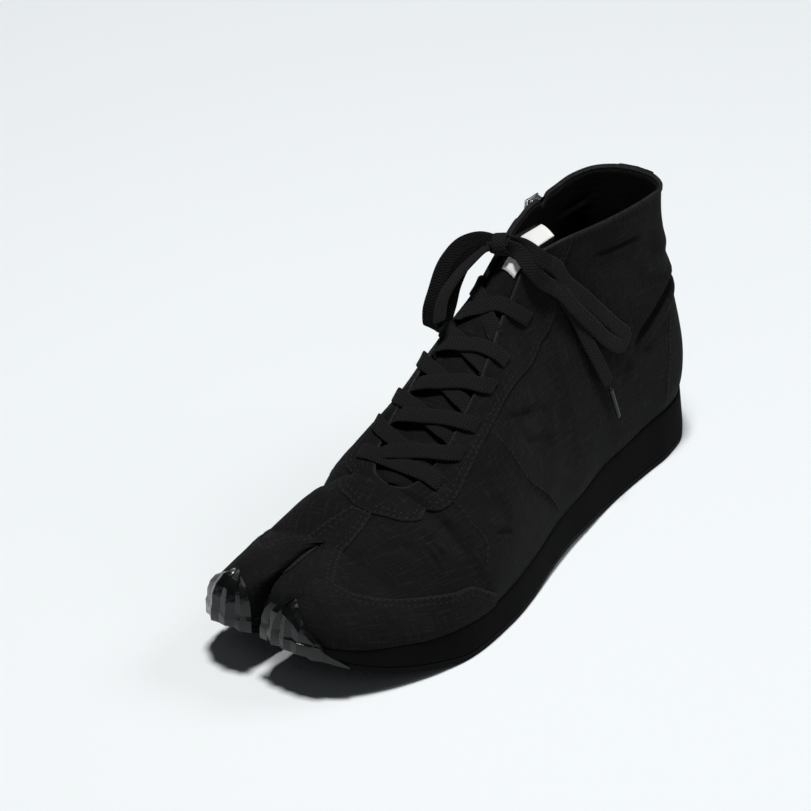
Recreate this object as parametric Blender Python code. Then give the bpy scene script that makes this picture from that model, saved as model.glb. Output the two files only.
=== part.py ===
"""Split-toe high-top sneaker, left shoe, standing empty on its sole.

Sizes are in millimetres in the frame of the last: across is positive to the
lateral side, along runs from the heel to the toes, height is up from the floor.
In the scene the toes point to -Y and the lateral side is +X.
"""
import bpy
import math
import numpy as np
from mathutils import Matrix, Vector
from mathutils.geometry import delaunay_2d_cdt

for old in list(bpy.data.objects):
    bpy.data.objects.remove(old, do_unlink=True)

MM = 0.001

# Main sizes of the shoe
MIDDLE_ACROSS = 3.899
MIDDLE_ALONG = 145.588
WALL = 2.0
GAP = 0.3
FOOT_GAP = 0.9
OVERLAY = 1.2
OUTSOLE_THICK = 4.0
INSOLE_THICK = 4.0
SOLE_FLARE = 3.0
CLEFT_FLARE = 0.2
FEATHER_LEDGE = 1.0
TONGUE_THICK = 3.0
TONGUE_CLEAR = 1.0

# Places of the top line and the feather line, as loop positions of the ribs.
# The loop starts at the crotch between the toes and runs round the lateral side
# to the heel and back along the medial side. Each whole number starts a stretch.
INNER_LATERAL, TIP_LATERAL, OUTER_LATERAL, VAMP_LATERAL, THROAT_LATERAL, COLLAR_LATERAL = range(6)
COLLAR_MEDIAL, THROAT_MEDIAL, VAMP_MEDIAL, OUTER_MEDIAL, TIP_MEDIAL, INNER_MEDIAL = range(6, 12)
STRETCHES = 12
# Shares of a stretch that have a rib. The close pair on the vamp parts the toe
# overlay's stem from the eyestay.
TOE_SHARES = (0, 0.2, 0.4, 0.6, 0.8)
TIP_SHARES = tuple(k / 6 for k in range(6))
VAMP_SHARES = (0, 0.2, 0.4, 0.56, 0.6, 0.8)
THROAT_SHARES = tuple(k / 12 for k in range(12))
COLLAR_SHARES = tuple(k / 10 for k in range(10))
LATERAL_SHARES = (TOE_SHARES, TIP_SHARES, TOE_SHARES, VAMP_SHARES, THROAT_SHARES, COLLAR_SHARES)
LATERAL_LOOP = [k + share for k, shares in enumerate(LATERAL_SHARES) for share in shares]
LOOP = LATERAL_LOOP + [STRETCHES / 2] + [STRETCHES - k for k in reversed(LATERAL_LOOP) if k > 0]

# Top curves, each row: across, along, height
VAMP_RIDGE = [(-10, 245, 51), (-7, 236, 55.5), (-3, 224, 62), (1, 209, 69)]
LOBE_LATERAL = [(-10, 245, 51), (-5, 256, 51.8), (2, 269, 50.5), (7, 279, 48)]
LOBE_MEDIAL = [(-10, 245, 51), (-17.5, 257, 52.8), (-25, 271, 52), (-31, 282, 49)]
EDGE_LATERAL = [(1, 209, 69), (9, 206.5, 70), (14, 198, 74), (16.5, 184, 84), (16, 170, 94),
                (14.5, 156, 104), (11, 141, 114), (6, 121, 126), (6, 111, 138), (11, 101, 149.5)]
EDGE_MEDIAL = [(1, 209, 69), (-8, 206.5, 70), (-14, 198, 74), (-16.5, 184, 84), (-16.3, 170, 94),
               (-16, 156, 104), (-15, 139, 115), (-14.5, 117, 126), (-14, 92, 145)]
RIM_LATERAL = [(11, 101, 149.5), (15, 84, 150), (20, 66, 150.5), (24, 48, 150.5),
               (25.5, 30, 150), (24, 16, 149), (14, 8, 147.5), (2, 6, 146)]
RIM_MEDIAL = [(2, 6, 146), (-10, 7, 144), (-20, 12, 142), (-25, 22, 141),
              (-26, 36, 140.5), (-26, 54, 140.5), (-22, 71, 142), (-14, 92, 145)]

# Feather line, each row: loop position, along, across
FEATHER = [
    (0.00, 250, -13.5), (0.50, 266, -12.6), (0.85, 281, -12.6), (1.00, 286.5, -11.0),
    (1.25, 289.5, -3.0), (1.50, 289.5, 7.0), (1.75, 287, 17.0), (2.00, 282, 25.5),
    (2.33, 274, 33.0), (2.67, 262, 41.0), (3.00, 248, 48.0), (3.33, 237, 52.2),
    (3.67, 223, 56.0), (4.00, 207, 57.0), (4.15, 197, 56.6), (4.35, 180, 55.0),
    (4.50, 165, 52.2), (4.70, 142, 47.0), (4.85, 122, 43.3), (5.00, 104, 41.0),
    (5.20, 84, 38.4), (5.40, 64, 37.2), (5.55, 46, 37.0), (5.70, 26, 36.6),
    (5.82, 9, 32.0), (5.92, -1, 20.5), (6.00, -4, 1.0), (6.08, -1, -18.5),
    (6.18, 9, -30.5), (6.30, 26, -35.0), (6.45, 46, -35.4), (6.60, 64, -34.0),
    (6.80, 84, -32.0), (7.00, 101, -31.4), (7.15, 120, -32.4), (7.30, 140, -35.0),
    (7.50, 165, -39.5), (7.70, 184, -42.6), (7.85, 197, -44.2), (8.00, 208, -45.2),
    (8.33, 223, -46.0), (8.67, 237, -46.6), (9.00, 249, -46.9), (9.33, 260, -46.9),
    (9.67, 272, -47.0), (10.00, 283, -45.2), (10.25, 289.5, -39.5), (10.50, 292.5, -32.0),
    (10.75, 291.5, -25.0), (11.00, 287.8, -20.2), (11.15, 281, -18.4), (11.50, 266, -16.2),
    (12.00, 250, -13.5)]

# Swell of each rib, each row: loop position, foot swell out, foot rise,
# crown reach out, crown drop
SWELL = [
    (0.0, 0.3, 30, 6, 0.5), (0.5, 0.3, 30, 15, 0.0), (0.85, 0.6, 26, 24, 0.5), (1.0, 1.0, 21, 22, 0.5),
    (1.2, 1.6, 14, 11, 0.5), (1.5, 2.0, 10, 8, 0.5),
    (2.0, 2.5, 11, 10, 0.5), (2.5, 3.0, 12, 16, 0.5), (3.0, 3.5, 13, 26, 0.5), (3.5, 3.5, 15, 30, 1),
    (4.0, 3.5, 18, 28, 2), (4.3, 3.0, 24, 20, 9), (4.6, 2.0, 32, 15, 18), (4.85, 2.0, 36, 9, 26),
    (5.0, 2.5, 38, 3, 40), (5.3, 3.5, 34, 1, 48), (5.65, 5.0, 32, 0, 54), (5.82, 9.0, 33, 0, 56),
    (5.93, 8.0, 33, 0.3, 58), (6.0, 4.5, 32, 0.5, 60),
    (6.3, 4.0, 32, 0, 52), (6.7, 3.5, 34, 1, 45), (7.0, 3.0, 36, 3, 38), (7.3, 2.5, 34, 10, 24),
    (7.6, 3.0, 28, 16, 15), (8.0, 3.5, 25, 34, -2), (8.25, 3.5, 27.5, 37.5, -4), (8.6, 3.5, 26, 36, -4.5),
    (9.0, 3.0, 22, 33, -4), (9.6, 2.5, 15, 15, -2), (10.0, 2.5, 11, 8, 0.5), (10.5, 2.5, 11, 7, 0.5),
    (11.0, 1.0, 19, 13.5, 0.5), (11.15, 0.6, 26, 18, 0.5), (11.5, 0.3, 30, 9, 0.0), (12.0, 0.3, 30, 6, 0.5)]

# Heights along the sole, each row: along, height
FEATHER_HEIGHT = [(-2, 28), (40, 26.5), (85, 24), (130, 21), (170, 18.5), (200, 18),
                  (230, 19.5), (255, 22), (275, 25.5), (297, 31)]
TREAD_LIFT = [(-3, 4), (6, 1.2), (14, 0), (80, 0), (102, 1.6), (125, 2.5), (148, 1.6), (168, 0),
              (222, 0), (238, 2.8), (253, 6.2), (267, 10.5), (278, 15), (287, 20), (297, 25.5)]


def smooth(knots, values, at):
    """Cubic through the knots with finite-difference slopes, flat where the values are."""
    knots = np.asarray(knots, float)
    values = np.asarray(values, float)
    at = np.asarray(at, float)
    step = np.diff(knots)
    slope = np.diff(values, axis=0) / step.reshape((-1,) + (1,) * (values.ndim - 1))
    tangent = np.empty_like(values)
    tangent[0], tangent[-1] = slope[0], slope[-1]
    for i in range(1, len(knots) - 1):
        before, after = step[i - 1], step[i]
        tangent[i] = (slope[i - 1] * after + slope[i] * before) / (before + after)
        tangent[i] = np.where(slope[i - 1] * slope[i] == 0, 0.0, tangent[i])
    i = np.clip(np.searchsorted(knots, at, side="right") - 1, 0, len(knots) - 2)
    t = (at - knots[i]) / step[i]
    shape = t.shape + (1,) * (values.ndim - 1)
    t = t.reshape(shape)
    h = step[i].reshape(shape)
    return ((2 * t**3 - 3 * t**2 + 1) * values[i] + (t**3 - 2 * t**2 + t) * h * tangent[i]
            + (3 * t**2 - 2 * t**3) * values[i + 1] + (t**3 - t**2) * h * tangent[i + 1])


def along_curve(rows, share):
    """Point at a share of a top curve's rows, spaced by chord length."""
    rows = np.asarray(rows, float)
    chord = np.r_[0, np.cumsum(np.linalg.norm(np.diff(rows, axis=0), axis=1))]
    return smooth(chord / chord[-1], rows, share)


def top_point(loop):
    """Top end of the rib at a loop position."""
    stretch = min(int(loop), STRETCHES - 1)
    t = loop - stretch
    return {
        INNER_LATERAL: lambda: along_curve(LOBE_LATERAL, t),
        TIP_LATERAL: lambda: along_curve(LOBE_LATERAL, 1.0),
        OUTER_LATERAL: lambda: along_curve(LOBE_LATERAL, 1 - t),
        VAMP_LATERAL: lambda: along_curve(VAMP_RIDGE, t),
        THROAT_LATERAL: lambda: along_curve(EDGE_LATERAL, t),
        COLLAR_LATERAL: lambda: along_curve(RIM_LATERAL, t),
        COLLAR_MEDIAL: lambda: along_curve(RIM_MEDIAL, t),
        THROAT_MEDIAL: lambda: along_curve(EDGE_MEDIAL, 1 - t),
        VAMP_MEDIAL: lambda: along_curve(VAMP_RIDGE, 1 - t),
        OUTER_MEDIAL: lambda: along_curve(LOBE_MEDIAL, t),
        TIP_MEDIAL: lambda: along_curve(LOBE_MEDIAL, 1.0),
        INNER_MEDIAL: lambda: along_curve(LOBE_MEDIAL, 1 - t),
    }[stretch]()


def height_at(table, along):
    rows = np.asarray(table, float)
    return smooth(rows[:, 0], rows[:, 1], along)


def foot_point(loop):
    """Point of the feather line at a loop position: across, along, height."""
    rows = np.asarray(FEATHER, float)
    along, across = smooth(rows[:, 0], rows[:, 1:], np.array([loop]))[0]
    return np.array([across, along, height_at(FEATHER_HEIGHT, along) + FOOT_GAP])


RIB_STEPS = 48


def rib(loop):
    """Curve of the canvas from the feather line up to the top line."""
    rows = np.asarray(SWELL, float)
    swell, rise, reach, drop = smooth(rows[:, 0], rows[:, 1:], np.array([loop]))[0]
    foot, top = foot_point(loop), top_point(loop)
    out = (foot - top) * (1, 1, 0)
    out /= np.linalg.norm(out)
    handles = foot + out * swell + (0, 0, rise), top + out * reach - (0, 0, drop)
    t = np.linspace(0, 1, RIB_STEPS + 1)[:, None]
    return ((1 - t)**3 * foot + 3 * (1 - t)**2 * t * handles[0]
            + 3 * (1 - t) * t**2 * handles[1] + t**3 * top)


# Seam lines on each rib of the lateral side, each row: loop position, height of the toe
# band above the feather line, depth of the stem and eyestay below the top line.
# The medial side mirrors them.
SEAMS = [
    (0.0, 14, 9), (1.0, 14, 9), (2.0, 20, 9), (2.4, 34, 12), (2.6, 31, 11.5), (3.0, 24, 10.5),
    (3.5, 19.3, 7.5), (3.6, 18.5, 6), (3.8, 17, 22.5), (4.0, 14, 22), (4.1, 8, 19.7), (4.24, 12, 17.1),
    (4.36, 16, 17.5), (4.56, 20, 21.3), (4.8, 24, 33.8), (5.0, 26, 40.5), (5.1, 26, 19.6),
    (5.2, 26, 8), (5.6, 28, 24), (6.0, 28, 26)]
PANEL_LEAST = 2.0
BAND_ROWS, PANEL_ROWS, STEM_ROWS = 3, 5, 2
ROWS = BAND_ROWS + PANEL_ROWS + STEM_ROWS


def rib_rows(loop):
    """Rib points at the rows of the canvas, foot first."""
    curve = rib(loop)
    run = np.r_[0, np.cumsum(np.linalg.norm(np.diff(curve, axis=0), axis=1))]
    table = np.asarray(SEAMS, float)
    band, stem = smooth(table[:, 0], table[:, 1:], np.array([min(loop, STRETCHES - loop)]))[0]
    high = run[-1] - stem
    low = min(band, high - PANEL_LEAST)
    stops = np.r_[np.linspace(0, low, BAND_ROWS + 1), np.linspace(low, high, PANEL_ROWS + 1)[1:],
                  np.linspace(high, run[-1], STEM_ROWS + 1)[1:]]
    return np.column_stack([np.interp(stops, run, curve[:, k]) for k in range(3)])


def canvas():
    """Outer face of the canvas: points, normals, and faces keyed by rib and row."""
    grid = np.array([rib_rows(loop) for loop in LOOP])
    index, points, names = {}, [], np.zeros(grid.shape[:2], int)
    for i, row in np.ndindex(names.shape):
        key = tuple(np.round(grid[i, row], 3))
        if key not in index:
            index[key] = len(points)
            points.append(grid[i, row])
        names[i, row] = index[key]
    faces = {}
    for i in range(len(LOOP)):
        k = (i + 1) % len(LOOP)
        for row in range(ROWS):
            loop = [names[i, row], names[k, row], names[k, row + 1], names[i, row + 1]]
            faces[i, row] = triangles([v for n, v in enumerate(loop) if v != loop[n - 1]])
    points = to_world(np.array(points))
    return points, point_normals(points, sum(faces.values(), [])), faces


def triangles(ring):
    """Triangles of a face with three or four corners."""
    return [ring[:3]] + ([[ring[0], ring[2], ring[3]]] if len(ring) == 4 else [])


def to_world(p):
    """Last frame in millimetres to the scene in metres."""
    p = np.asarray(p, float)
    return np.stack([p[..., 0] - MIDDLE_ACROSS, MIDDLE_ALONG - p[..., 1], p[..., 2]], -1) * MM


def point_normals(points, faces):
    normals = np.zeros_like(points)
    for face in faces:
        ring = points[list(face)]
        area = np.cross(ring - ring[0], np.roll(ring, -1, 0) - ring[0]).sum(0)
        normals[list(face)] += area
    return normals / np.linalg.norm(normals, axis=1)[:, None]


def thicken(points, normals, faces, inner, outer):
    """Closed solid between two offsets of a patch of surface, in millimetres."""
    faces = [list(face) for face in faces]
    used = sorted({v for face in faces for v in face})
    name = {v: n for n, v in enumerate(used)}
    p, n = points[used], normals[used]
    verts = np.vstack([p + n * outer * MM, p + n * inner * MM])
    count = len(used)
    solid = [[name[v] for v in face] for face in faces]
    edges = {(a, b) for face in solid for a, b in zip(face, face[1:] + face[:1])}
    solid += [[v + count for v in reversed(face)] for face in solid]
    solid += [[b, a, a + count, b + count] for a, b in edges if (b, a) not in edges]
    return verts, solid


MATERIALS = {}


def material(name, colour, roughness, metallic=0.0):
    """One Principled BSDF for each finish."""
    if name not in MATERIALS:
        made = bpy.data.materials.new(name)
        made.use_nodes = True
        shader = made.node_tree.nodes["Principled BSDF"]
        shader.inputs["Base Color"].default_value = (*colour, 1)
        shader.inputs["Roughness"].default_value = roughness
        shader.inputs["Metallic"].default_value = metallic
        MATERIALS[name] = made
    return MATERIALS[name]


def node(name, verts, faces, finish):
    """One named mesh object."""
    mesh = bpy.data.meshes.new(name)
    mesh.from_pydata([tuple(v) for v in verts], [], [tuple(f) for f in faces])
    mesh.validate()
    mesh.materials.append(finish)
    made = bpy.data.objects.new(name, mesh)
    bpy.context.collection.objects.link(made)
    return made


# Sole
SHEET_SPACING = 13.0
SHEET_MARGIN = 10.0
INSOLE_INSET = WALL + 2.0
OUTLINE_LOOP = np.concatenate([
    np.linspace(0, 0.7, 7, endpoint=False), np.linspace(0.7, 2.1, 12, endpoint=False),
    np.linspace(2.1, 5.6, 24, endpoint=False), np.linspace(5.6, 6.4, 14, endpoint=False),
    np.linspace(6.4, 9.9, 22, endpoint=False), np.linspace(9.9, 11.3, 12, endpoint=False),
    np.linspace(11.3, 12, 7, endpoint=False)])


def flare_at(loop):
    """How far the sole stands out from the canvas foot: less inside the cleft."""
    inside = min(loop, STRETCHES - loop)
    return CLEFT_FLARE + (SOLE_FLARE - CLEFT_FLARE) * min(1.0, max(0.0, (inside - 0.7) / 0.5))


def foot_out(loop, out_by):
    """Plan point a distance outside the feather line."""
    step = 0.02
    before, after = foot_point((loop - step) % STRETCHES), foot_point((loop + step) % STRETCHES)
    tangent = (after - before)[:2]
    normal = np.array([-tangent[1], tangent[0]]) / np.linalg.norm(tangent)
    return foot_point(loop)[:2] + normal * out_by


def outline(out_by):
    """Ring of plan points outside the feather line by a function of the loop position."""
    return np.array([foot_out(loop, out_by(loop)) for loop in OUTLINE_LOOP])


def edges_across(ring, along):
    """Across places where an outline passes a place along the shoe."""
    following = np.roll(ring, -1, 0)
    cut = (ring[:, 1] > along) != (following[:, 1] > along)
    run = (following - ring)[cut]
    return ring[cut, 0] + (along - ring[cut, 1]) * run[:, 0] / run[:, 1]


def inside_points(ring):
    """Grid points well inside an outline, for even triangles across a sheet."""
    inner = []
    following = np.roll(ring, -1, 0)
    low, high = ring.min(0), ring.max(0)
    for along in np.arange(low[1] + SHEET_SPACING / 2, high[1], SHEET_SPACING):
        crossings = edges_across(ring, along)
        for across in np.arange(low[0] + SHEET_SPACING / 2, high[0], SHEET_SPACING):
            offset = np.array([across, along]) - ring
            side = following - ring
            share = np.clip((offset * side).sum(1) / (side * side).sum(1), 0, 1)
            clear = np.linalg.norm(offset - side * share[:, None], axis=1).min()
            if np.sum(crossings > across) % 2 and clear > SHEET_MARGIN:
                inner.append((across, along))
    return inner


def feather(along):
    return height_at(FEATHER_HEIGHT, along)


def tread(along):
    return height_at(TREAD_LIFT, along)


SOLE_EDGE = outline(flare_at)
SOLE_INNER = inside_points(SOLE_EDGE)
SOLE_TRIANGLES = delaunay_2d_cdt(
    [Vector(p) for p in [*SOLE_EDGE, *SOLE_INNER]],
    [(i, (i + 1) % len(SOLE_EDGE)) for i in range(len(SOLE_EDGE))], [], 1, 1e-6)[2]


def sheet(name, top, top_height, bottom, bottom_height, finish):
    """Closed sheet between two outlines whose heights follow the length."""
    ring = len(top)
    total = ring + len(SOLE_INNER)
    upper_side = [(x, s, float(top_height(s))) for x, s in [*top, *SOLE_INNER]]
    lower_side = [(x, s, float(bottom_height(s))) for x, s in [*bottom, *SOLE_INNER]]
    faces = [list(reversed(tri)) for tri in SOLE_TRIANGLES]
    faces += [[v + total for v in tri] for tri in SOLE_TRIANGLES]
    for i in range(ring):
        k = (i + 1) % ring
        faces.append([i, i + total, k + total, k])
    return node(name, to_world(upper_side + lower_side), faces, finish)


# Tread grooves across the outsole, each row: first place, last place, count
GROOVES = [(20, 76, 5), (172, 218, 4)]
GROOVE_WIDTH = 3.0
GROOVE_DEPTH = 2.2
GROOVE_MARGIN = 6.0
BOX_FACES = [(3, 2, 1, 0), (4, 5, 6, 7), (0, 1, 5, 4), (1, 2, 6, 5), (2, 3, 7, 6), (3, 0, 4, 7)]


def box(name, low, high, finish):
    """Plain block between two corners in the frame of the last."""
    ring = (low[0], high[1]), (high[0], high[1]), (high[0], low[1]), (low[0], low[1])
    corners = to_world([(x, s, z) for z in (low[2], high[2]) for x, s in ring])
    return node(name, corners, BOX_FACES, finish)


def cut(target, cutter, operation="DIFFERENCE"):
    """Boolean of a node with a hidden form."""
    change = target.modifiers.new(cutter.name, "BOOLEAN")
    change.operation = operation
    change.solver = "EXACT"
    change.object = cutter
    cutter.hide_render = True
    cutter.display_type = "WIRE"


def build_sole():
    foam = material("midsole_foam", (0.011, 0.011, 0.012), 0.85)
    ledge = outline(lambda loop: min(FEATHER_LEDGE, flare_at(loop)))
    sheet("midsole", ledge, feather, SOLE_EDGE, lambda s: tread(s) + OUTSOLE_THICK, foam)
    rubber = material("outsole_rubber", (0.010, 0.010, 0.011), 0.7)
    outsole = sheet("outsole", SOLE_EDGE, lambda s: tread(s) + OUTSOLE_THICK - GAP,
                    SOLE_EDGE, tread, rubber)
    for first, last, count in GROOVES:
        for number, along in enumerate(np.linspace(first, last, count)):
            across = edges_across(SOLE_EDGE, along)
            low = across.min() + GROOVE_MARGIN, along - GROOVE_WIDTH / 2, -GROOVE_DEPTH
            high = across.max() - GROOVE_MARGIN, along + GROOVE_WIDTH / 2, GROOVE_DEPTH
            cut(outsole, box(f"groove_{first}_{number}", low, high, rubber))
    inset = outline(lambda loop: -INSOLE_INSET)
    sheet("insole", inset, lambda s: feather(s) + GAP + INSOLE_THICK, inset, lambda s: feather(s) + GAP,
          material("insole_cloth", (0.02, 0.02, 0.021), 0.95))


# Canvas pieces
OVERLAY_IN, OVERLAY_OUT = GAP, GAP + OVERLAY
TOE_START, TOE_CORNER, STEM_END, EYESTAY_FRONT, BAND_END, EYESTAY_TOP = 1.0, 2.4, 3.56, 3.6, 4.1, 5.2
BACKSTAY_START = 5.9
EYELET_SHARES = (0.125, 0.25, 0.38, 0.52, 0.66, 0.83)
EYELET_DEPTH_LATERAL = (9, 9.5, 9.5, 11.5, 14, 19)
EYELET_DEPTH_MEDIAL = (9, 9, 9, 9, 9, 9)
EYELET_RADIUS = 2.2
EYELET_SIDES = 12
HOLE_REACH = 6.0
STEP_LOOP = 0.01
STEP_DEPTH = 0.5


def rib_at(loop, depth):
    """Point of the canvas a depth down its rib from the top line."""
    curve = rib(loop % STRETCHES)
    run = np.r_[0, np.cumsum(np.linalg.norm(np.diff(curve, axis=0), axis=1))]
    return np.array([np.interp(run[-1] - depth, run, curve[:, k]) for k in range(3)])


def on_canvas(loop, depth, lift):
    """World point lifted off the canvas, with the canvas normal there."""
    depth = max(depth, STEP_DEPTH)
    round_shoe = to_world(rib_at(loop + STEP_LOOP, depth)) - to_world(rib_at(loop - STEP_LOOP, depth))
    upwards = to_world(rib_at(loop, depth - STEP_DEPTH)) - to_world(rib_at(loop, depth + STEP_DEPTH))
    normal = np.cross(round_shoe, upwards)
    normal /= np.linalg.norm(normal)
    return to_world(rib_at(loop, depth)) + normal * lift * MM, normal


def mirrored(loop):
    """Distance of a rib from the crotch on its own side of the loop."""
    return min(loop, STRETCHES - loop)


def patch(wanted):
    """Canvas triangles whose rib interval and row pass a test."""
    chosen = []
    for (i, row), tris in FACES.items():
        ends = mirrored(LOOP[i]), mirrored(LOOP[(i + 1) % len(LOOP)])
        if wanted(min(ends), max(ends), row):
            chosen += tris
    return chosen


def in_toe_overlay(start, end, row):
    slack = 1e-6
    cap = start >= TOE_START - slack and end <= TOE_CORNER + slack
    band = start >= TOE_CORNER - slack and end <= BAND_END + slack and row < BAND_ROWS
    stem = start >= TOE_CORNER - slack and end <= STEM_END + slack and row >= BAND_ROWS + PANEL_ROWS
    return cap or band or stem


def in_eyestay(start, end, row):
    slack = 1e-6
    return start >= EYESTAY_FRONT - slack and end <= EYESTAY_TOP + slack and row >= BAND_ROWS + PANEL_ROWS


def in_backstay(start, end, row):
    return start >= BACKSTAY_START - 1e-6


def eyelet(side, row):
    """Loop position and depth of a lace hole."""
    if side == "lateral":
        return THROAT_LATERAL + EYELET_SHARES[row], EYELET_DEPTH_LATERAL[row]
    return STRETCHES - THROAT_LATERAL - EYELET_SHARES[row], EYELET_DEPTH_MEDIAL[row]


def build_canvas():
    finish = material("canvas", (0.012, 0.012, 0.013), 0.9)
    upper = node("upper", *thicken(POINTS, NORMALS, patch(lambda start, end, row: True), -WALL, 0), finish)
    pieces = [("toe_overlay", in_toe_overlay), ("eyestay", in_eyestay), ("backstay", in_backstay)]
    made = {name: node(name, *thicken(POINTS, NORMALS, patch(test), OVERLAY_IN, OVERLAY_OUT),
                       material(name + "_canvas", (0.013, 0.013, 0.014), 0.9)) for name, test in pieces}
    for side in ("lateral", "medial"):
        for row in range(len(EYELET_SHARES)):
            centre, normal = on_canvas(*eyelet(side, row), 0)
            reach = normal * HOLE_REACH * MM
            hole = rod(f"hole_{side}_{row}", centre - reach, centre + reach,
                       EYELET_RADIUS, EYELET_SIDES, finish)
            cut(upper, hole)
            cut(made["eyestay"], hole)


def rod(name, start, end, radius, sides, finish):
    """Round bar between two world points."""
    axis = Vector(end) - Vector(start)
    turn = axis.to_track_quat("Z", "Y").to_matrix()
    ring = [Vector((math.cos(a), math.sin(a), 0)) * radius * MM
            for a in np.linspace(0, 2 * math.pi, sides, endpoint=False)]
    verts = [Vector(p) + turn @ v for p in (start, end) for v in ring]
    faces = [list(range(sides))[::-1], list(range(sides, 2 * sides))]
    faces += [[i, (i + 1) % sides, (i + 1) % sides + sides, i + sides] for i in range(sides)]
    return node(name, verts, faces, finish)


# Toe guards, each row: loop position, height of the guard's edge above the feather line
GUARD_LATERAL = [(1.03, 17), (1.12, 20), (1.3, 20), (1.45, 17.5), (1.58, 12), (1.7, 6), (1.8, 2)]
GUARD_MEDIAL = [(9.85, 5), (9.95, 13), (10.1, 19), (10.4, 22), (10.7, 22), (10.85, 20), (10.93, 17)]
GUARD_THICK = 1.9
GUARD_CLEAR = 0.8
GUARD_ROWS = 7
GUARD_SKIRT = 1.2


def build_guard(name, table):
    """Rubber wrapped from the sole's lower edge up the front of one toe."""
    table = np.asarray(table, float)
    grid = []
    stations = sorted(k for k in [*OUTLINE_LOOP, *LOOP] if table[0, 0] < k < table[-1, 0])
    for loop in [table[0, 0], *stations, table[-1, 0]]:
        edge = float(smooth(table[:, 0], table[:, 1], np.array([loop]))[0])
        length = np.linalg.norm(np.diff(rib(loop), axis=0), axis=1).sum()
        low = foot_out(loop, flare_at(loop) + GUARD_CLEAR)
        middle = foot_out(loop, OVERLAY_OUT + GUARD_CLEAR)
        heights = GUARD_SKIRT, OUTSOLE_THICK
        column = [to_world((*low, tread(low[1]) + height)) for height in heights]
        column.append(to_world((*middle, feather(middle[1]) + GAP)))
        for share in np.linspace(0, 1, GUARD_ROWS)[1:]:
            column.append(on_canvas(loop, length - edge * share, OVERLAY_OUT + GUARD_CLEAR)[0])
        grid.append(column)
    grid = np.array(grid)
    columns, rows = grid.shape[:2]
    faces = []
    for i in range(columns - 1):
        for k in range(rows - 1):
            a = i * rows + k
            faces += triangles([a, a + rows, a + rows + 1, a + 1])
    points = grid.reshape(-1, 3)
    node(name, *thicken(points, point_normals(points, faces), faces, 0, GUARD_THICK),
         material("guard_rubber", (0.008, 0.008, 0.009), 0.25))


# Tongue
TONGUE_SHARES = np.linspace(0.12, 1.0, 12)
TONGUE_UNDERLAP = (14, 9, 4.5, 0.5)
TONGUE_SPREAD = (0.06, 0.25, 0.45, 0.65, 0.85)
TONGUE_ARCH = 1.5
# Lean of the tongue's top past the throat: across at its lateral and medial edges, back, up
TONGUE_LEAN_ACROSS = (1.0, 6.0)
TONGUE_LEAN_BACK = 8.5
TONGUE_LEAN_UP = 3.5
LABEL_ROWS, LABEL_COLUMNS = 3, 3
LABEL_THICK = 0.7


def build_tongue():
    clear = -(WALL + TONGUE_CLEAR)
    grid = []
    for share in TONGUE_SHARES:
        lateral, medial = THROAT_LATERAL + share, STRETCHES - THROAT_LATERAL - share
        near = [on_canvas(lateral, depth, clear)[0] for depth in TONGUE_UNDERLAP]
        far = [on_canvas(medial, depth, clear)[0] for depth in TONGUE_UNDERLAP]
        middle = []
        for spread in TONGUE_SPREAD:
            point = near[-1] * (1 - spread) + far[-1] * spread
            point[2] += TONGUE_ARCH * MM * math.sin(math.pi * spread)
            middle.append(point)
        grid.append(near + middle + far[::-1])
    grid = np.array(grid)
    lean = np.empty_like(grid[-1])
    lean[:, 0] = np.linspace(*TONGUE_LEAN_ACROSS, len(lean))
    lean[:, 1:] = TONGUE_LEAN_BACK, TONGUE_LEAN_UP
    grid = np.concatenate([grid, [grid[-1] + lean * MM * share for share in (0.5, 1.0)]])
    rows, columns = grid.shape[:2]
    faces = {}
    for i in range(rows - 1):
        for k in range(columns - 1):
            a = i * columns + k
            faces[i, k] = triangles([a, a + columns, a + columns + 1, a + 1])
    points = grid.reshape(-1, 3)
    normals = point_normals(points, sum(faces.values(), []))
    node("tongue", *thicken(points, normals, sum(faces.values(), []), -TONGUE_THICK, 0),
         material("tongue_canvas", (0.012, 0.012, 0.013), 0.9))
    first = len(TONGUE_UNDERLAP)
    label = [tri for (i, k), tris in faces.items() for tri in tris
             if i >= rows - 1 - LABEL_ROWS and first <= k < first + LABEL_COLUMNS]
    node("tongue_label", *thicken(points, normals, label, GAP, GAP + LABEL_THICK),
         material("label_cloth", (0.8, 0.8, 0.79), 0.8))


# Lace rows
LACE_WIDTH = 6.0
LACE_THICK = 1.4
LACE_LIFT = OVERLAY_OUT + 1.4 + LACE_THICK / 2
LACE_OVER = 0.35
LACE_SPAN = 0.32
EDGE_CLEAR = 1.3
LACE_STOPS = (0, 0.08, 0.16, 0.24, 0.32, 0.5, 0.68, 0.76, 0.84, 0.92, 1)


def throat_loop(side, share):
    """Loop position of a share of the throat edge on one side."""
    return THROAT_LATERAL + share if side == "lateral" else STRETCHES - THROAT_LATERAL - share


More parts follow.
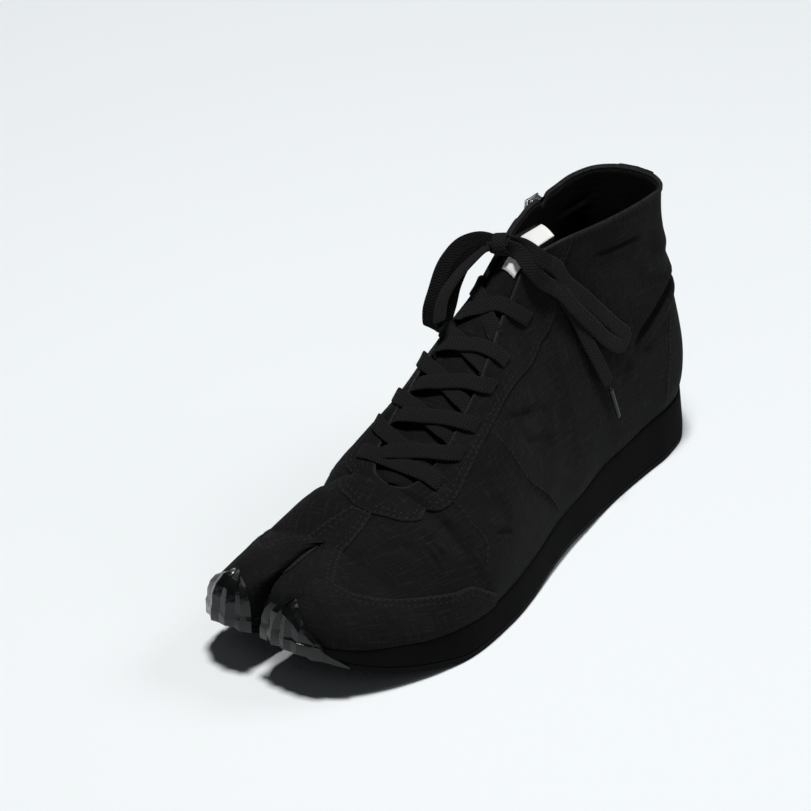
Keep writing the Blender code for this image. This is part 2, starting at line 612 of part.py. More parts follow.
def lace_path(start_side, start_row, end_row, lift):
    """Points and normals of a strand from one lace hole across to another.

    It lies on the eyestay by the holes and clears both throat edges in between.
    """
    end_side = "medial" if start_side == "lateral" else "lateral"
    start_depth, end_depth = eyelet(start_side, start_row)[1], eyelet(end_side, end_row)[1]
    path = []
    for stop in LACE_STOPS:
        share = EYELET_SHARES[start_row] * (1 - stop) + EYELET_SHARES[end_row] * stop
        start_loop, end_loop = throat_loop(start_side, share), throat_loop(end_side, share)
        start_edge, start_normal = on_canvas(start_loop, 0, 0)
        end_edge, end_normal = on_canvas(end_loop, 0, 0)
        middle = (start_normal + end_normal) / np.linalg.norm(start_normal + end_normal)
        to_hole = max(0, 1 - stop / LACE_SPAN), max(0, 1 - (1 - stop) / LACE_SPAN)
        if stop <= LACE_SPAN:
            point, normal = on_canvas(start_loop, start_depth * to_hole[0], 0)
        elif stop >= 1 - LACE_SPAN:
            point, normal = on_canvas(end_loop, end_depth * to_hole[1], 0)
        else:
            point, normal = (start_edge + end_edge) / 2, middle
        flat = 1 - max(to_hole)
        normal = normal * (1 - flat) + middle * flat
        normal /= np.linalg.norm(normal)
        path.append((point + normal * (lift + EDGE_CLEAR * flat) * MM, normal))
    return path


def strap(path, width, thick):
    """Flat band along a path of points and normals."""
    points = np.array([p for p, _ in path])
    run = np.gradient(points, axis=0)
    verts = []
    for (point, normal), tangent in zip(path, run):
        side = np.cross(tangent, normal)
        side *= width * MM / 2 / np.linalg.norm(side)
        rise = normal * thick * MM / 2
        verts += [point - side - rise, point + side - rise, point + side + rise, point - side + rise]
    last = len(verts) - 4
    faces = [[0, 1, 2, 3], [last + 3, last + 2, last + 1, last]]
    for a in range(0, last, 4):
        for k in range(4):
            b = (k + 1) % 4
            faces += triangles([a + b, a + k, a + k + 4, a + b + 4])
    return verts, faces


def build_lace_rows():
    finish = material("lace_cotton", (0.012, 0.012, 0.013), 0.9)
    rows = len(EYELET_SHARES)
    lace = node("lace_rows", *strap(lace_path("lateral", 0, 0, LACE_LIFT), LACE_WIDTH, LACE_THICK), finish)
    strands = []
    for row in range(rows - 1):
        strands += [("lateral", row, LACE_LIFT + LACE_OVER), ("medial", row, LACE_LIFT + 2 * LACE_OVER)]
    for side, row, lift in strands:
        band = strap(lace_path(side, row, row + 1, lift), LACE_WIDTH, LACE_THICK)
        cut(lace, node(f"strand_{side}_{row}", *band, finish), "UNION")


# Zip on the medial side
ZIP_LOOP = 6.56
ZIP_TOP, ZIP_BOTTOM, ZIP_STEPS = 2.0, 84.0, 14
TAPE_HALF, TAPE_THICK = 7.0, 0.6
TEETH_HALF, TEETH_THICK = 2.4, 1.3
SLIDER_DEPTH = 9.0
SLIDER_SIZE = (9.0, 12.0, 3.0)
BRIDGE_SIZE = (2.0, 7.0, 1.1)
BRIDGE_CLEAR = 2.2
BRIDGE_SINK = 0.6
TAB_SIZE = (8.0, 25.0, 1.2)
TAB_BAR = 1.2
TAB_WINDOW = (4.2, 4.6)
TAB_SLOT = (2.4, 7.0)
TAB_SLOT_AT = 17.5


def zip_strip(name, half, low, high, finish):
    """Band that follows the rib of the zip, flat across."""
    path = []
    for depth in np.linspace(ZIP_TOP, ZIP_BOTTOM, ZIP_STEPS):
        path.append(on_canvas(ZIP_LOOP, depth, (low + high) / 2))
    return node(name, *strap(path, 2 * half, high - low), finish)


def local_box(name, frame, low, high, finish):
    """Block in a local frame, in millimetres."""
    ring = (low[0], low[1]), (high[0], low[1]), (high[0], high[1]), (low[0], high[1])
    corners = [frame @ (Vector((x, y, z)) * MM) for z in (low[2], high[2]) for x, y in ring]
    return node(name, corners, BOX_FACES, finish)


def build_zip():
    metal = material("zip_metal", (0.55, 0.55, 0.56), 0.3, 1.0)
    tape_low = OVERLAY_IN
    teeth_low = tape_low + TAPE_THICK + GAP
    cloth = material("zip_cloth", (0.012, 0.012, 0.013), 0.9)
    zip_strip("zip_tape", TAPE_HALF, tape_low, tape_low + TAPE_THICK, cloth)
    zip_strip("zip_teeth", TEETH_HALF, teeth_low, teeth_low + TEETH_THICK, metal)
    # Local frame of the slider: X across the zip, Y up along it, Z off the canvas
    base, off = on_canvas(ZIP_LOOP, SLIDER_DEPTH, teeth_low + TEETH_THICK + GAP)
    up = on_canvas(ZIP_LOOP, ZIP_TOP, 0)[0] - on_canvas(ZIP_LOOP, 2 * SLIDER_DEPTH - ZIP_TOP, 0)[0]
    across = Vector(np.cross(up, off)).normalized()
    frame = Matrix((across, Vector(off).cross(across), Vector(off))).transposed().to_4x4()
    frame.translation = Vector(base)
    width, length, height = SLIDER_SIZE
    slider = local_box("zip_slider", frame, (-width / 2, -length / 2, 0),
                       (width / 2, length / 2, height), metal)
    half, reach = BRIDGE_SIZE[0] / 2, BRIDGE_SIZE[1] / 2
    bridge_top = height + BRIDGE_CLEAR + BRIDGE_SIZE[2]
    bridge = local_box("bridge", frame, (-half, -reach, height - BRIDGE_SINK),
                       (half, reach, bridge_top), metal)
    under = local_box("under_bridge", frame, (-width / 2, BRIDGE_SIZE[2] - reach, height - BRIDGE_SINK / 2),
                      (width / 2, reach - BRIDGE_SIZE[2], height + BRIDGE_CLEAR), metal)
    cut(bridge, under)
    cut(slider, bridge, "UNION")
    # Pull tab, hanging from its end bar under the bridge. Its own frame is on the hinge line.
    hinge = frame @ Vector((0, 0, (height + BRIDGE_CLEAR / 2) * MM))
    frame.translation = hinge
    half_tab, thick = TAB_SIZE[0] / 2, TAB_SIZE[2] / 2
    tab = local_box("zip_pull_tab", frame, (-half_tab, -TAB_SIZE[1], -thick), (half_tab, TAB_BAR / 2, thick),
                    material("pull_metal", (0.6, 0.6, 0.61), 0.28, 1.0))
    openings = [("tab_window", TAB_WINDOW, -(TAB_BAR + TAB_WINDOW[1]) / 2),
                ("tab_slot", TAB_SLOT, -TAB_SLOT_AT)]
    for name, (wide, long), middle in openings:
        cut(tab, local_box(name, frame, (-wide / 2, middle - long / 2, -TAB_SIZE[2]),
                           (wide / 2, middle + long / 2, TAB_SIZE[2]), metal))
    tab.data.transform(Matrix.Translation(-hinge))
    tab.location = hinge


# Bow of the lace. Free points, each row: across, along, height.
# Points that lie on the canvas, each row: loop position, depth below the top line, lift
KNOT = [(-15, 106.5, 146), (-9.5, 104.5, 147.5), (-4, 102.5, 148.5)]
LOOP_MEDIAL = [(-17.5, 109, 148.5), (-24, 112, 146.5), (-31, 118.5, 136.5), (-33.5, 124.5, 121.5),
               (-34.5, 128, 109), (-34, 127, 102), (-32.5, 121.5, 101), (-31.5, 117.5, 109),
               (-30.5, 113.5, 122), (-26.5, 108.5, 135), (-18.5, 105, 142.5)]
END_MEDIAL = [(-12.5, 110.5, 148), (-14.5, 118, 145), (-18, 128, 138), (-19, 138, 130), (-14, 148.5, 123)]
LOOP_LATERAL_START = [(-1, 102, 152), (5.5, 101.5, 155)]
LOOP_LATERAL = [(5.03, 4, 7.5), (5.1, 16, 6.2), (5.21, 32, 4.6), (5.31, 48, 3.6), (5.4, 60, 3.8),
                (5.44, 64, 5.8), (5.41, 60, 8), (5.31, 47, 8.2), (5.21, 32, 9.4), (5.11, 16, 11),
                (5.04, 4, 12)]
LOOP_LATERAL_FINISH = [(6.5, 99, 160.5), (-0.5, 99.5, 157)]
END_LATERAL_START = [(-1, 107.5, 148.5), (4.5, 109.5, 148)]
END_LATERAL = [(4.94, 8, 6.5), (5.02, 20, 5), (5.1, 36, 4.2), (5.17, 55, 3.8), (5.22, 72, 3.4),
               (5.26, 84, 3.2)]
TIP_LATERAL_ENDS = [(5.264, 85.5, 3.4), (5.31, 104, 3.2)]
TIP_RADIUS = 1.3
CORD_DIAMETER = 3.4
KNOT_DIAMETER = 6.0
CORD_SPACING = 8.5


def on_canvas_route(rows):
    return [on_canvas(*row)[0] for row in rows]


def cord(name, points, diameter, finish):
    """Round cord along a smooth line through world points."""
    points = np.asarray(points)
    chord = np.r_[0, np.cumsum(np.linalg.norm(np.diff(points, axis=0), axis=1))]
    count = max(3, round(chord[-1] / (CORD_SPACING * MM)) + 1)
    line = smooth(chord, points, np.linspace(0, chord[-1], count))
    data = bpy.data.curves.new(name, "CURVE")
    data.dimensions = "3D"
    data.bevel_depth = diameter * MM / 2
    data.bevel_resolution = 2
    data.use_fill_caps = True
    spline = data.splines.new("POLY")
    spline.points.add(count - 1)
    for target, point in zip(spline.points, line):
        target.co = (*point, 1)
    data.materials.append(finish)
    bpy.context.collection.objects.link(bpy.data.objects.new(name, data))


def build_bow():
    cotton = material("bow_cotton", (0.012, 0.012, 0.013), 0.9)
    cord("lace_knot", to_world(KNOT), KNOT_DIAMETER, cotton)
    cord("lace_loop_medial", to_world(LOOP_MEDIAL), CORD_DIAMETER, cotton)
    cord("lace_end_medial", to_world(END_MEDIAL), CORD_DIAMETER, cotton)
    cord("lace_loop_lateral", [*to_world(LOOP_LATERAL_START), *on_canvas_route(LOOP_LATERAL),
                               *to_world(LOOP_LATERAL_FINISH)], CORD_DIAMETER, cotton)
    cord("lace_end_lateral", [*to_world(END_LATERAL_START), *on_canvas_route(END_LATERAL)],
         CORD_DIAMETER, cotton)
    rod("lace_tip_lateral", *on_canvas_route(TIP_LATERAL_ENDS), TIP_RADIUS, EYELET_SIDES,
        material("lace_tip_plastic", (0.02, 0.02, 0.022), 0.25))


POINTS, NORMALS, FACES = canvas()
build_sole()
build_canvas()
build_guard("toe_guard_lateral", GUARD_LATERAL)
build_guard("toe_guard_medial", GUARD_MEDIAL)
build_tongue()
build_lace_rows()
build_zip()
build_bow()
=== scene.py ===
# %% [markdown]
# This lesson dresses one left split-toe high-top in black canvas. The packed
# solids are loaded first, and stay as the fixed frame for every piece below.
# Their box is kept, so that the dressed shoe can be measured against it at the end.

# %% Load the solids
import math
import bpy
import numpy as np
from mathutils import Matrix, Vector
from mathutils.kdtree import KDTree


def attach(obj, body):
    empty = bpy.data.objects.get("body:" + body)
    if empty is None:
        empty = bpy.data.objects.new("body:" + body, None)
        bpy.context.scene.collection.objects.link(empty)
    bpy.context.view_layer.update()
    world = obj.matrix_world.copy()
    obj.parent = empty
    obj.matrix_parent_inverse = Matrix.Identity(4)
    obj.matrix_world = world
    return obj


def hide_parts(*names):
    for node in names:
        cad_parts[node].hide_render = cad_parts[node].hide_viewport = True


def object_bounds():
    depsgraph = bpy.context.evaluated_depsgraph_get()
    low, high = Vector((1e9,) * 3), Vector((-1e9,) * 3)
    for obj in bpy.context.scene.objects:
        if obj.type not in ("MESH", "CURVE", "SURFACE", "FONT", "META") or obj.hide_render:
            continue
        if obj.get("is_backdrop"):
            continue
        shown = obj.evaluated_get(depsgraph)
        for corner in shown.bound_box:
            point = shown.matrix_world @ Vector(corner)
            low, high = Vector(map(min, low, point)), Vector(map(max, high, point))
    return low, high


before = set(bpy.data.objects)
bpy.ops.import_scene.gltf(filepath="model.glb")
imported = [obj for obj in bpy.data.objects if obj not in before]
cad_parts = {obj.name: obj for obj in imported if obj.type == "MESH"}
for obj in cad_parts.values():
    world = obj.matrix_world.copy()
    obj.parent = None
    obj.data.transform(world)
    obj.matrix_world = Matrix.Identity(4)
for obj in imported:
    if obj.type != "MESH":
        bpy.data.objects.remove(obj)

CAD_BOX = [list(corner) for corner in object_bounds()]
MM = 0.001
print("solids", sorted(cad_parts))

# %% [markdown]
# The photographer stood above the toes, on the lateral side, with a long lens.
# A camera can be placed by hand until the picture fits, but angles and a scale in
# pixels per millimetre are easier to correct one at a time, so they are named here.

# %% Camera
PICTURE = 811
AZIMUTH, ELEVATION = math.radians(36.0), math.radians(34.5)
DISTANCE = 2.5
PIXELS_PER_MM = 2.07
LOOK_AT = Vector((1.101, -2.912, 60.0)) * MM
LOOK_PIXEL = 471.0, 445.5
right = Vector((math.cos(AZIMUTH), math.sin(AZIMUTH), 0))
back = Vector((math.sin(AZIMUTH) * math.cos(ELEVATION), -math.cos(AZIMUTH) * math.cos(ELEVATION),
               math.sin(ELEVATION)))
bpy.ops.object.camera_add()
camera = bpy.context.object
camera.data.sensor_width = 36.0
camera.data.lens = 36.0 * PIXELS_PER_MM / MM * DISTANCE / PICTURE
camera.data.shift_x = (PICTURE / 2 - LOOK_PIXEL[0]) / PICTURE
camera.data.shift_y = (LOOK_PIXEL[1] - PICTURE / 2) / PICTURE
placed = Matrix((right, back.cross(right), back)).transposed().to_4x4()
placed.translation = LOOK_AT + back * DISTANCE
camera.matrix_world = placed
bpy.context.scene.camera = camera
print("lens", round(camera.data.lens, 1), "mm")

# %% [markdown]
# Materials here are small sums of noises and waves. Wiring each sum by hand is slow
# to read, so one class wraps a socket and turns Python arithmetic into Math nodes.
# Its node method adds any other node, with its settings set before its sockets.


# %% Shader arithmetic
class Wire:
    """A socket of a material. Sums and products of wires add Math nodes."""

    def __init__(self, tree, socket=None):
        self.tree = tree
        self.socket = socket

    def node(self, kind, settings=None, inputs=None, out=0):
        made = self.tree.nodes.new("ShaderNode" + kind)
        for name, value in (settings or {}).items():
            setattr(made, name, value)
        for name, value in (inputs or {}).items():
            if isinstance(value, Wire):
                self.tree.links.new(value.socket, made.inputs[name])
            else:
                made.inputs[name].default_value = value
        return Wire(self.tree, made.outputs[out])

    def math(self, operation, *others):
        return self.node("Math", {"operation": operation}, dict(enumerate([self, *others])))

    def __add__(self, other):
        return self.math("ADD", other)

    def __mul__(self, other):
        return self.math("MULTIPLY", other)

    __radd__ = __add__
    __rmul__ = __mul__

    def sine(self):
        return self.math("SINE")

    def between(self, low, high):
        """0 below low, 1 above high, smooth between them."""
        return self.node("MapRange", {"interpolation_type": "SMOOTHSTEP"},
                         {"Value": self, "From Min": low, "From Max": high})

    def noise(self, vector, scale, detail=2.0, rough=0.5):
        return self.node("TexNoise", {}, {"Vector": vector, "Scale": scale, "Detail": detail,
                                          "Roughness": rough})

    def stretched(self, vector, across, along):
        """The vector with its first two parts scaled apart, for threads and streaks."""
        return self.node("VectorMath", {"operation": "MULTIPLY"}, {0: vector, 1: (across, along, 1.0)})

    def blend(self, factor, first, second):
        def colour(value):
            return value if isinstance(value, Wire) else (*value, 1)
        return self.node("Mix", {"data_type": "RGBA"}, {0: factor, 6: colour(first), 7: colour(second)}, 2)


print("wire methods", [name for name in vars(Wire) if not name.startswith("_")])

# %% [markdown]
# Every finish starts as one Principled material. What is the same all over is set straight
# on its sockets, and what changes over the surface is linked in. Fine relief goes through
# a Bump node, because threads and pores as real faces would make the shoe too heavy.


# %% Material helpers
def finish(name, **constants):
    """A new Principled material, with the constants set on its own sockets."""
    made = bpy.data.materials.new(name)
    made.use_nodes = True
    shader = made.node_tree.nodes["Principled BSDF"]
    for socket, value in constants.items():
        shader.inputs[socket.replace("_", " ")].default_value = value
    return made, Wire(made.node_tree), shader


def feed(shader, wires, **sockets):
    for socket, value in sockets.items():
        wires.tree.links.new(value.socket, shader.inputs[socket.replace("_", " ")])


def bump(wires, shader, height, distance, strength=1.0):
    """Feed a height through a Bump node, its distance in metres."""
    feed(shader, wires, Normal=wires.node("Bump", {}, {"Height": height, "Distance": distance,
                                                       "Strength": strength}))


print("material helpers", [helper.__name__ for helper in (finish, feed, bump)])

# %% [markdown]
# The stage is a pale seamless floor. A small key lamp hangs almost overhead, so that the
# shadow falls straight below the sole. A broad lamp behind, a weak one in front and a very
# dim sky fill it a little. One plane is enough for a floor that is seen from above.

# %% Floor and light
bpy.context.scene.view_settings.view_transform = "Standard"
bpy.ops.mesh.primitive_plane_add(size=12)
floor = bpy.context.object
floor.name = "studio_floor"
paper, wires, shader = finish("floor_paper", Roughness=0.75)
place = wires.node("TexCoord", out="Object")
feed(shader, wires, Base_Color=wires.blend(wires.noise(place, 1.3), (0.83, 0.872, 0.90),
                                           (0.85, 0.888, 0.912)))
floor.data.materials.append(paper)
floor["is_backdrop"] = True
world = bpy.data.worlds.new("studio_sky")
world.use_nodes = True
sky = world.node_tree.nodes["Background"].inputs
sky["Color"].default_value = 0.93, 0.97, 1.0, 1
sky["Strength"].default_value = 0.03
bpy.context.scene.world = world
# Each row: name, place, size, power, colour
LAMPS = [("key_lamp", (0.05, -0.16, 2.6), 0.45, 64.0, (1.0, 0.99, 0.975)),
         ("back_lamp", (1.1, 1.5, 1.9), 1.2, 12.0, (0.97, 0.99, 1.0)),
         ("front_lamp", (1.5, -1.3, 1.8), 1.2, 1.0, (0.95, 0.98, 1.0))]
for name, spot, size, power, colour in LAMPS:
    bpy.ops.object.light_add(type="AREA", location=spot)
    lamp = bpy.context.object
    lamp.name = name
    lamp.rotation_euler = (-Vector(spot)).to_track_quat("-Z", "Y").to_euler()
    lamp.data.size = size
    lamp.data.energy = power
    lamp.data.color = colour
print("lamps", [row[0] for row in LAMPS])

# %% [markdown]
# The canvas is stretched over a last, so its shape is worked out the way a last maker
# gives it: ribs run up from the feather line, where canvas meets sole, to the top line.
# The tables hold those lines. Ribs are numbered round the shoe from the crotch between
# the toes, a whole number for each stretch: lateral lobe, vamp, throat, collar and back.

# %% Lines of the last
MIDDLE_ACROSS, MIDDLE_ALONG = 3.899, 145.588
STRETCHES = 12
# Top lines, each row: across, along, height
VAMP_RIDGE = [(-10, 245, 51), (-7, 236, 55.5), (-3, 224, 62), (1, 209, 69)]
LOBE_LATERAL = [(-10, 245, 51), (-5, 256, 51.8), (2, 269, 50.5), (7, 279, 48)]
LOBE_MEDIAL = [(-10, 245, 51), (-17.5, 257, 52.8), (-25, 271, 52), (-31, 282, 49)]
EDGE_LATERAL = [(1, 209, 69), (9, 206.5, 70), (14, 198, 74), (16.5, 184, 84), (16, 170, 94),
                (14.5, 156, 104), (11, 141, 114), (6, 121, 126), (6, 111, 138), (11, 101, 149.5)]
EDGE_MEDIAL = [(1, 209, 69), (-8, 206.5, 70), (-14, 198, 74), (-16.5, 184, 84), (-16.3, 170, 94),
               (-16, 156, 104), (-15, 139, 115), (-14.5, 117, 126), (-14, 92, 145)]
RIM_LATERAL = [(11, 101, 149.5), (15, 84, 150), (20, 66, 150.5), (24, 48, 150.5),
               (25.5, 30, 150), (24, 16, 149), (14, 8, 147.5), (2, 6, 146)]
RIM_MEDIAL = [(2, 6, 146), (-10, 7, 144), (-20, 12, 142), (-25, 22, 141),
              (-26, 36, 140.5), (-26, 54, 140.5), (-22, 71, 142), (-14, 92, 145)]
# Stretches in order round the shoe, each row: top line, share at its start, share at its end
TOP_LINE = [(LOBE_LATERAL, 0, 1), (LOBE_LATERAL, 1, 1), (LOBE_LATERAL, 1, 0), (VAMP_RIDGE, 0, 1),
            (EDGE_LATERAL, 0, 1), (RIM_LATERAL, 0, 1), (RIM_MEDIAL, 0, 1), (EDGE_MEDIAL, 1, 0),
            (VAMP_RIDGE, 1, 0), (LOBE_MEDIAL, 0, 1), (LOBE_MEDIAL, 1, 1), (LOBE_MEDIAL, 1, 0)]
# Feather line, each row: rib, along, across
FEATHER = np.array([
    (0.00, 250, -13.5), (0.50, 266, -12.6), (0.85, 281, -12.6), (1.00, 286.5, -11.0),
    (1.25, 289.5, -3.0), (1.50, 289.5, 7.0), (1.75, 287, 17.0), (2.00, 282, 25.5),
    (2.33, 274, 33.0), (2.67, 262, 41.0), (3.00, 248, 48.0), (3.33, 237, 52.2),
    (3.67, 223, 56.0), (4.00, 207, 57.0), (4.15, 197, 56.6), (4.35, 180, 55.0),
    (4.50, 165, 52.2), (4.70, 142, 47.0), (4.85, 122, 43.3), (5.00, 104, 41.0),
    (5.20, 84, 38.4), (5.40, 64, 37.2), (5.55, 46, 37.0), (5.70, 26, 36.6),
    (5.82, 9, 32.0), (5.92, -1, 20.5), (6.00, -4, 1.0), (6.08, -1, -18.5),
    (6.18, 9, -30.5), (6.30, 26, -35.0), (6.45, 46, -35.4), (6.60, 64, -34.0),
    (6.80, 84, -32.0), (7.00, 101, -31.4), (7.15, 120, -32.4), (7.30, 140, -35.0),
    (7.50, 165, -39.5), (7.70, 184, -42.6), (7.85, 197, -44.2), (8.00, 208, -45.2),
    (8.33, 223, -46.0), (8.67, 237, -46.6), (9.00, 249, -46.9), (9.33, 260, -46.9),
    (9.67, 272, -47.0), (10.00, 283, -45.2), (10.25, 289.5, -39.5), (10.50, 292.5, -32.0),
    (10.75, 291.5, -25.0), (11.00, 287.8, -20.2), (11.15, 281, -18.4), (11.50, 266, -16.2),
    (12.00, 250, -13.5)])
# Swell of each rib, each row: rib, foot swell out, foot rise, crown reach out, crown drop
SWELL = np.array([
    (0.0, 0.3, 30, 6, 0.5), (0.5, 0.3, 30, 15, 0.0), (0.85, 0.6, 26, 24, 0.5), (1.0, 1.0, 21, 22, 0.5),
    (1.2, 1.6, 14, 11, 0.5), (1.5, 2.0, 10, 8, 0.5),
    (2.0, 2.5, 11, 10, 0.5), (2.5, 3.0, 12, 16, 0.5), (3.0, 3.5, 13, 26, 0.5), (3.5, 3.5, 15, 30, 1),
    (4.0, 3.5, 18, 28, 2), (4.3, 3.0, 24, 20, 9), (4.6, 2.0, 32, 15, 18), (4.85, 2.0, 36, 9, 26),
    (5.0, 2.5, 38, 3, 40), (5.3, 3.5, 34, 1, 48), (5.65, 5.0, 32, 0, 54), (5.82, 9.0, 33, 0, 56),
    (5.93, 8.0, 33, 0.3, 58), (6.0, 4.5, 32, 0.5, 60),
    (6.3, 4.0, 32, 0, 52), (6.7, 3.5, 34, 1, 45), (7.0, 3.0, 36, 3, 38), (7.3, 2.5, 34, 10, 24),
    (7.6, 3.0, 28, 16, 15), (8.0, 3.5, 25, 34, -2), (8.25, 3.5, 27.5, 37.5, -4), (8.6, 3.5, 26, 36, -4.5),
    (9.0, 3.0, 22, 33, -4), (9.6, 2.5, 15, 15, -2), (10.0, 2.5, 11, 8, 0.5), (10.5, 2.5, 11, 7, 0.5),
    (11.0, 1.0, 19, 13.5, 0.5), (11.15, 0.6, 26, 18, 0.5), (11.5, 0.3, 30, 9, 0.0),
    (12.0, 0.3, 30, 6, 0.5)])
# Heights along the sole, each row: along, height
FEATHER_HEIGHT = np.array([(-2, 28), (40, 26.5), (85, 24), (130, 21), (170, 18.5), (200, 18),
                           (230, 19.5), (255, 22), (275, 25.5), (297, 31)])
TREAD_LIFT = np.array([(-3, 4), (6, 1.2), (14, 0), (80, 0), (102, 1.6), (125, 2.5), (148, 1.6), (168, 0),
                       (222, 0), (238, 2.8), (253, 6.2), (267, 10.5), (278, 15), (287, 20), (297, 25.5)])
print("feather line", np.ptp(FEATHER[:, 1]), "mm long", np.ptp(FEATHER[:, 2]), "mm wide")

# %% [markdown]
# A table has few rows, so a curve is drawn through them. Blender's own curves would do, but
# here points are needed at any place along them, so the cubic is worked out directly. It
# stays flat where two rows are equal, which keeps the sole level under the heel and ball.


# %% Curves through tables
def unit(vectors):
    return vectors / np.linalg.norm(vectors, axis=-1, keepdims=True)


def run_along(line):
    """Distance along a line at each of its points."""
    return np.r_[0, np.cumsum(np.linalg.norm(np.diff(line, axis=0), axis=1))]


def at_distances(line, far):
    """Points of a line at distances along it."""
    run = run_along(line)
    return np.stack([np.interp(far, run, line[:, k]) for k in range(line.shape[1])], 1)


def smooth(knots, values, at):
    """Cubic through the knots with finite-difference slopes, flat where the values are."""
    knots, values, at = (np.asarray(v, float) for v in (knots, values, at))
    step = np.diff(knots)
    slope = np.diff(values, axis=0) / step.reshape((-1,) + (1,) * (values.ndim - 1))
    tangent = np.empty_like(values)
    tangent[0], tangent[-1] = slope[0], slope[-1]
    for i in range(1, len(knots) - 1):
        tangent[i] = (slope[i - 1] * step[i] + slope[i] * step[i - 1]) / (step[i - 1] + step[i])
        tangent[i] = np.where(slope[i - 1] * slope[i] == 0, 0.0, tangent[i])
    i = np.clip(np.searchsorted(knots, at, side="right") - 1, 0, len(knots) - 2)
    shape = at.shape + (1,) * (values.ndim - 1)
    t = ((at - knots[i]) / step[i]).reshape(shape)
    h = step[i].reshape(shape)
    return ((2 * t**3 - 3 * t**2 + 1) * values[i] + (t**3 - 2 * t**2 + t) * h * tangent[i]
            + (3 * t**2 - 2 * t**3) * values[i + 1] + (t**3 - t**2) * h * tangent[i + 1])


def through(rows, count):
    """Evenly spaced points on a smooth line through the rows."""
    rows = np.asarray(rows, float)
    rows = rows[np.r_[True, np.linalg.norm(np.diff(rows, axis=0), axis=1) > 1e-4]]
    run = run_along(rows)
    line = smooth(run, rows, np.linspace(0, run[-1], 12 * len(rows)))
    return at_distances(line, np.linspace(0, run_along(line)[-1], count))


def to_world(points):
    """Frame of the last to the frame of the scene, both in millimetres."""
    points = np.asarray(points, float)
    return np.stack([points[..., 0] - MIDDLE_ACROSS, MIDDLE_ALONG - points[..., 1], points[..., 2]], -1)


print("vamp ridge", round(run_along(through(VAMP_RIDGE, 30))[-1], 1), "mm long")

# %% [markdown]
# Each rib is one Bezier curve from the feather line to the top line. Its lower handle leans
# out and up, and its upper one out and down, so four numbers make a rib full or lean. A mesh
# could be pulled into shape by hand, but then no seam could be placed on it by its sizes.

# %% Ribs
RIBS_PER_STRETCH, RIB_SHARES = 80, 49
FOOT_GAP = 0.4


def feet(rib):
    """Plan points of the feather line in the frame of the last: across, along."""
    return smooth(FEATHER[:, 0], FEATHER[:, 1:], np.asarray(rib) % STRETCHES)[..., ::-1]


def feather(along):
    return smooth(FEATHER_HEIGHT[:, 0], FEATHER_HEIGHT[:, 1], along)


def top_point(rib):
    """Point of the top line at one rib."""
    stretch = min(int(rib), STRETCHES - 1)
    line, start, end = TOP_LINE[stretch]
    rows = np.array(line, float)
    chord = run_along(rows)
    return smooth(chord / chord[-1], rows, start + (end - start) * (rib - stretch))


ribs = np.arange(STRETCHES * RIBS_PER_STRETCH + 1) / RIBS_PER_STRETCH
foot = np.column_stack([feet(ribs), feather(feet(ribs)[:, 1]) + FOOT_GAP])
top = np.array([top_point(rib) for rib in ribs])
swell, rise, reach, drop = smooth(SWELL[:, 0], SWELL[:, 1:], ribs).T[..., None]
out = unit((foot - top) * (1, 1, 0))
upwards = np.array([0, 0, 1])
foot_handle = foot + out * swell + upwards * rise
top_handle = top + out * reach - upwards * drop
t = np.linspace(0, 1, RIB_SHARES)[:, None, None]
curves = (1 - t)**3 * foot + 3 * (1 - t)**2 * t * foot_handle + 3 * (1 - t) * t**2 * top_handle + t**3 * top
curves = to_world(curves).transpose(1, 0, 2)
RIB_LENGTH = np.array([run_along(curve)[-1] for curve in curves])
RIB_POINTS = np.array([at_distances(curve, np.linspace(0, length, RIB_SHARES))
                       for curve, length in zip(curves, RIB_LENGTH)])
print("ribs", RIB_POINTS.shape, "longest", round(RIB_LENGTH.max(), 1), "mm")

# %% [markdown]
# Any place on the canvas is then a rib number and a height up that rib. The face is
# looked up between the stored ribs, with its outward normal, so that every panel, seam
# and lace hole below can be given as a rib and a distance from the sole or the top line.


# %% Canvas face
def rib_length(rib):
    return np.interp(np.asarray(rib, float) % STRETCHES, ribs, RIB_LENGTH)


def canvas(rib, height):
    """Points of the smooth canvas face at ribs and heights above the feather line."""
    rib, height = np.broadcast_arrays(np.asarray(rib, float) % STRETCHES, np.asarray(height, float))
    share = np.clip(height / rib_length(rib), 0, 1) * (RIB_SHARES - 1)
    place = rib * RIBS_PER_STRETCH
    i = np.clip(place.astype(int), 0, len(ribs) - 2)
    k = np.clip(share.astype(int), 0, RIB_SHARES - 2)
    a, b = (place - i)[..., None], (share - k)[..., None]
    return ((RIB_POINTS[i, k] * (1 - b) + RIB_POINTS[i, k + 1] * b) * (1 - a)
            + (RIB_POINTS[i + 1, k] * (1 - b) + RIB_POINTS[i + 1, k + 1] * b) * a)


def canvas_normal(rib, height):
    rib, height = np.broadcast_arrays(np.asarray(rib, float), np.asarray(height, float))
    height = np.clip(height, 0.6, rib_length(rib) - 0.6)
    round_shoe = canvas(rib + 0.015, height) - canvas(rib - 0.015, height)
    up_rib = canvas(rib, height + 0.6) - canvas(rib, height - 0.6)
    normal = np.cross(round_shoe, up_rib)
    return normal / np.maximum(np.linalg.norm(normal, axis=-1), 1e-9)[..., None]


def below_top(rib, depth):
    """Height up a rib that is a depth below the top line."""
    return rib_length(rib) - np.asarray(depth, float)


print("heel rib", round(float(rib_length(STRETCHES / 2)), 1), "mm long")

# %% [markdown]
# Worn canvas keeps its creases where the foot bends and where the quarter slumps. Cloth
# simulation would put them anywhere, so each is given as a line in a table: a soft trough
# with a lower ridge beside it. The sewn joins between panels are narrower lines of that kind.

# %% Creases and joins
RIB_WEIGHT = 40
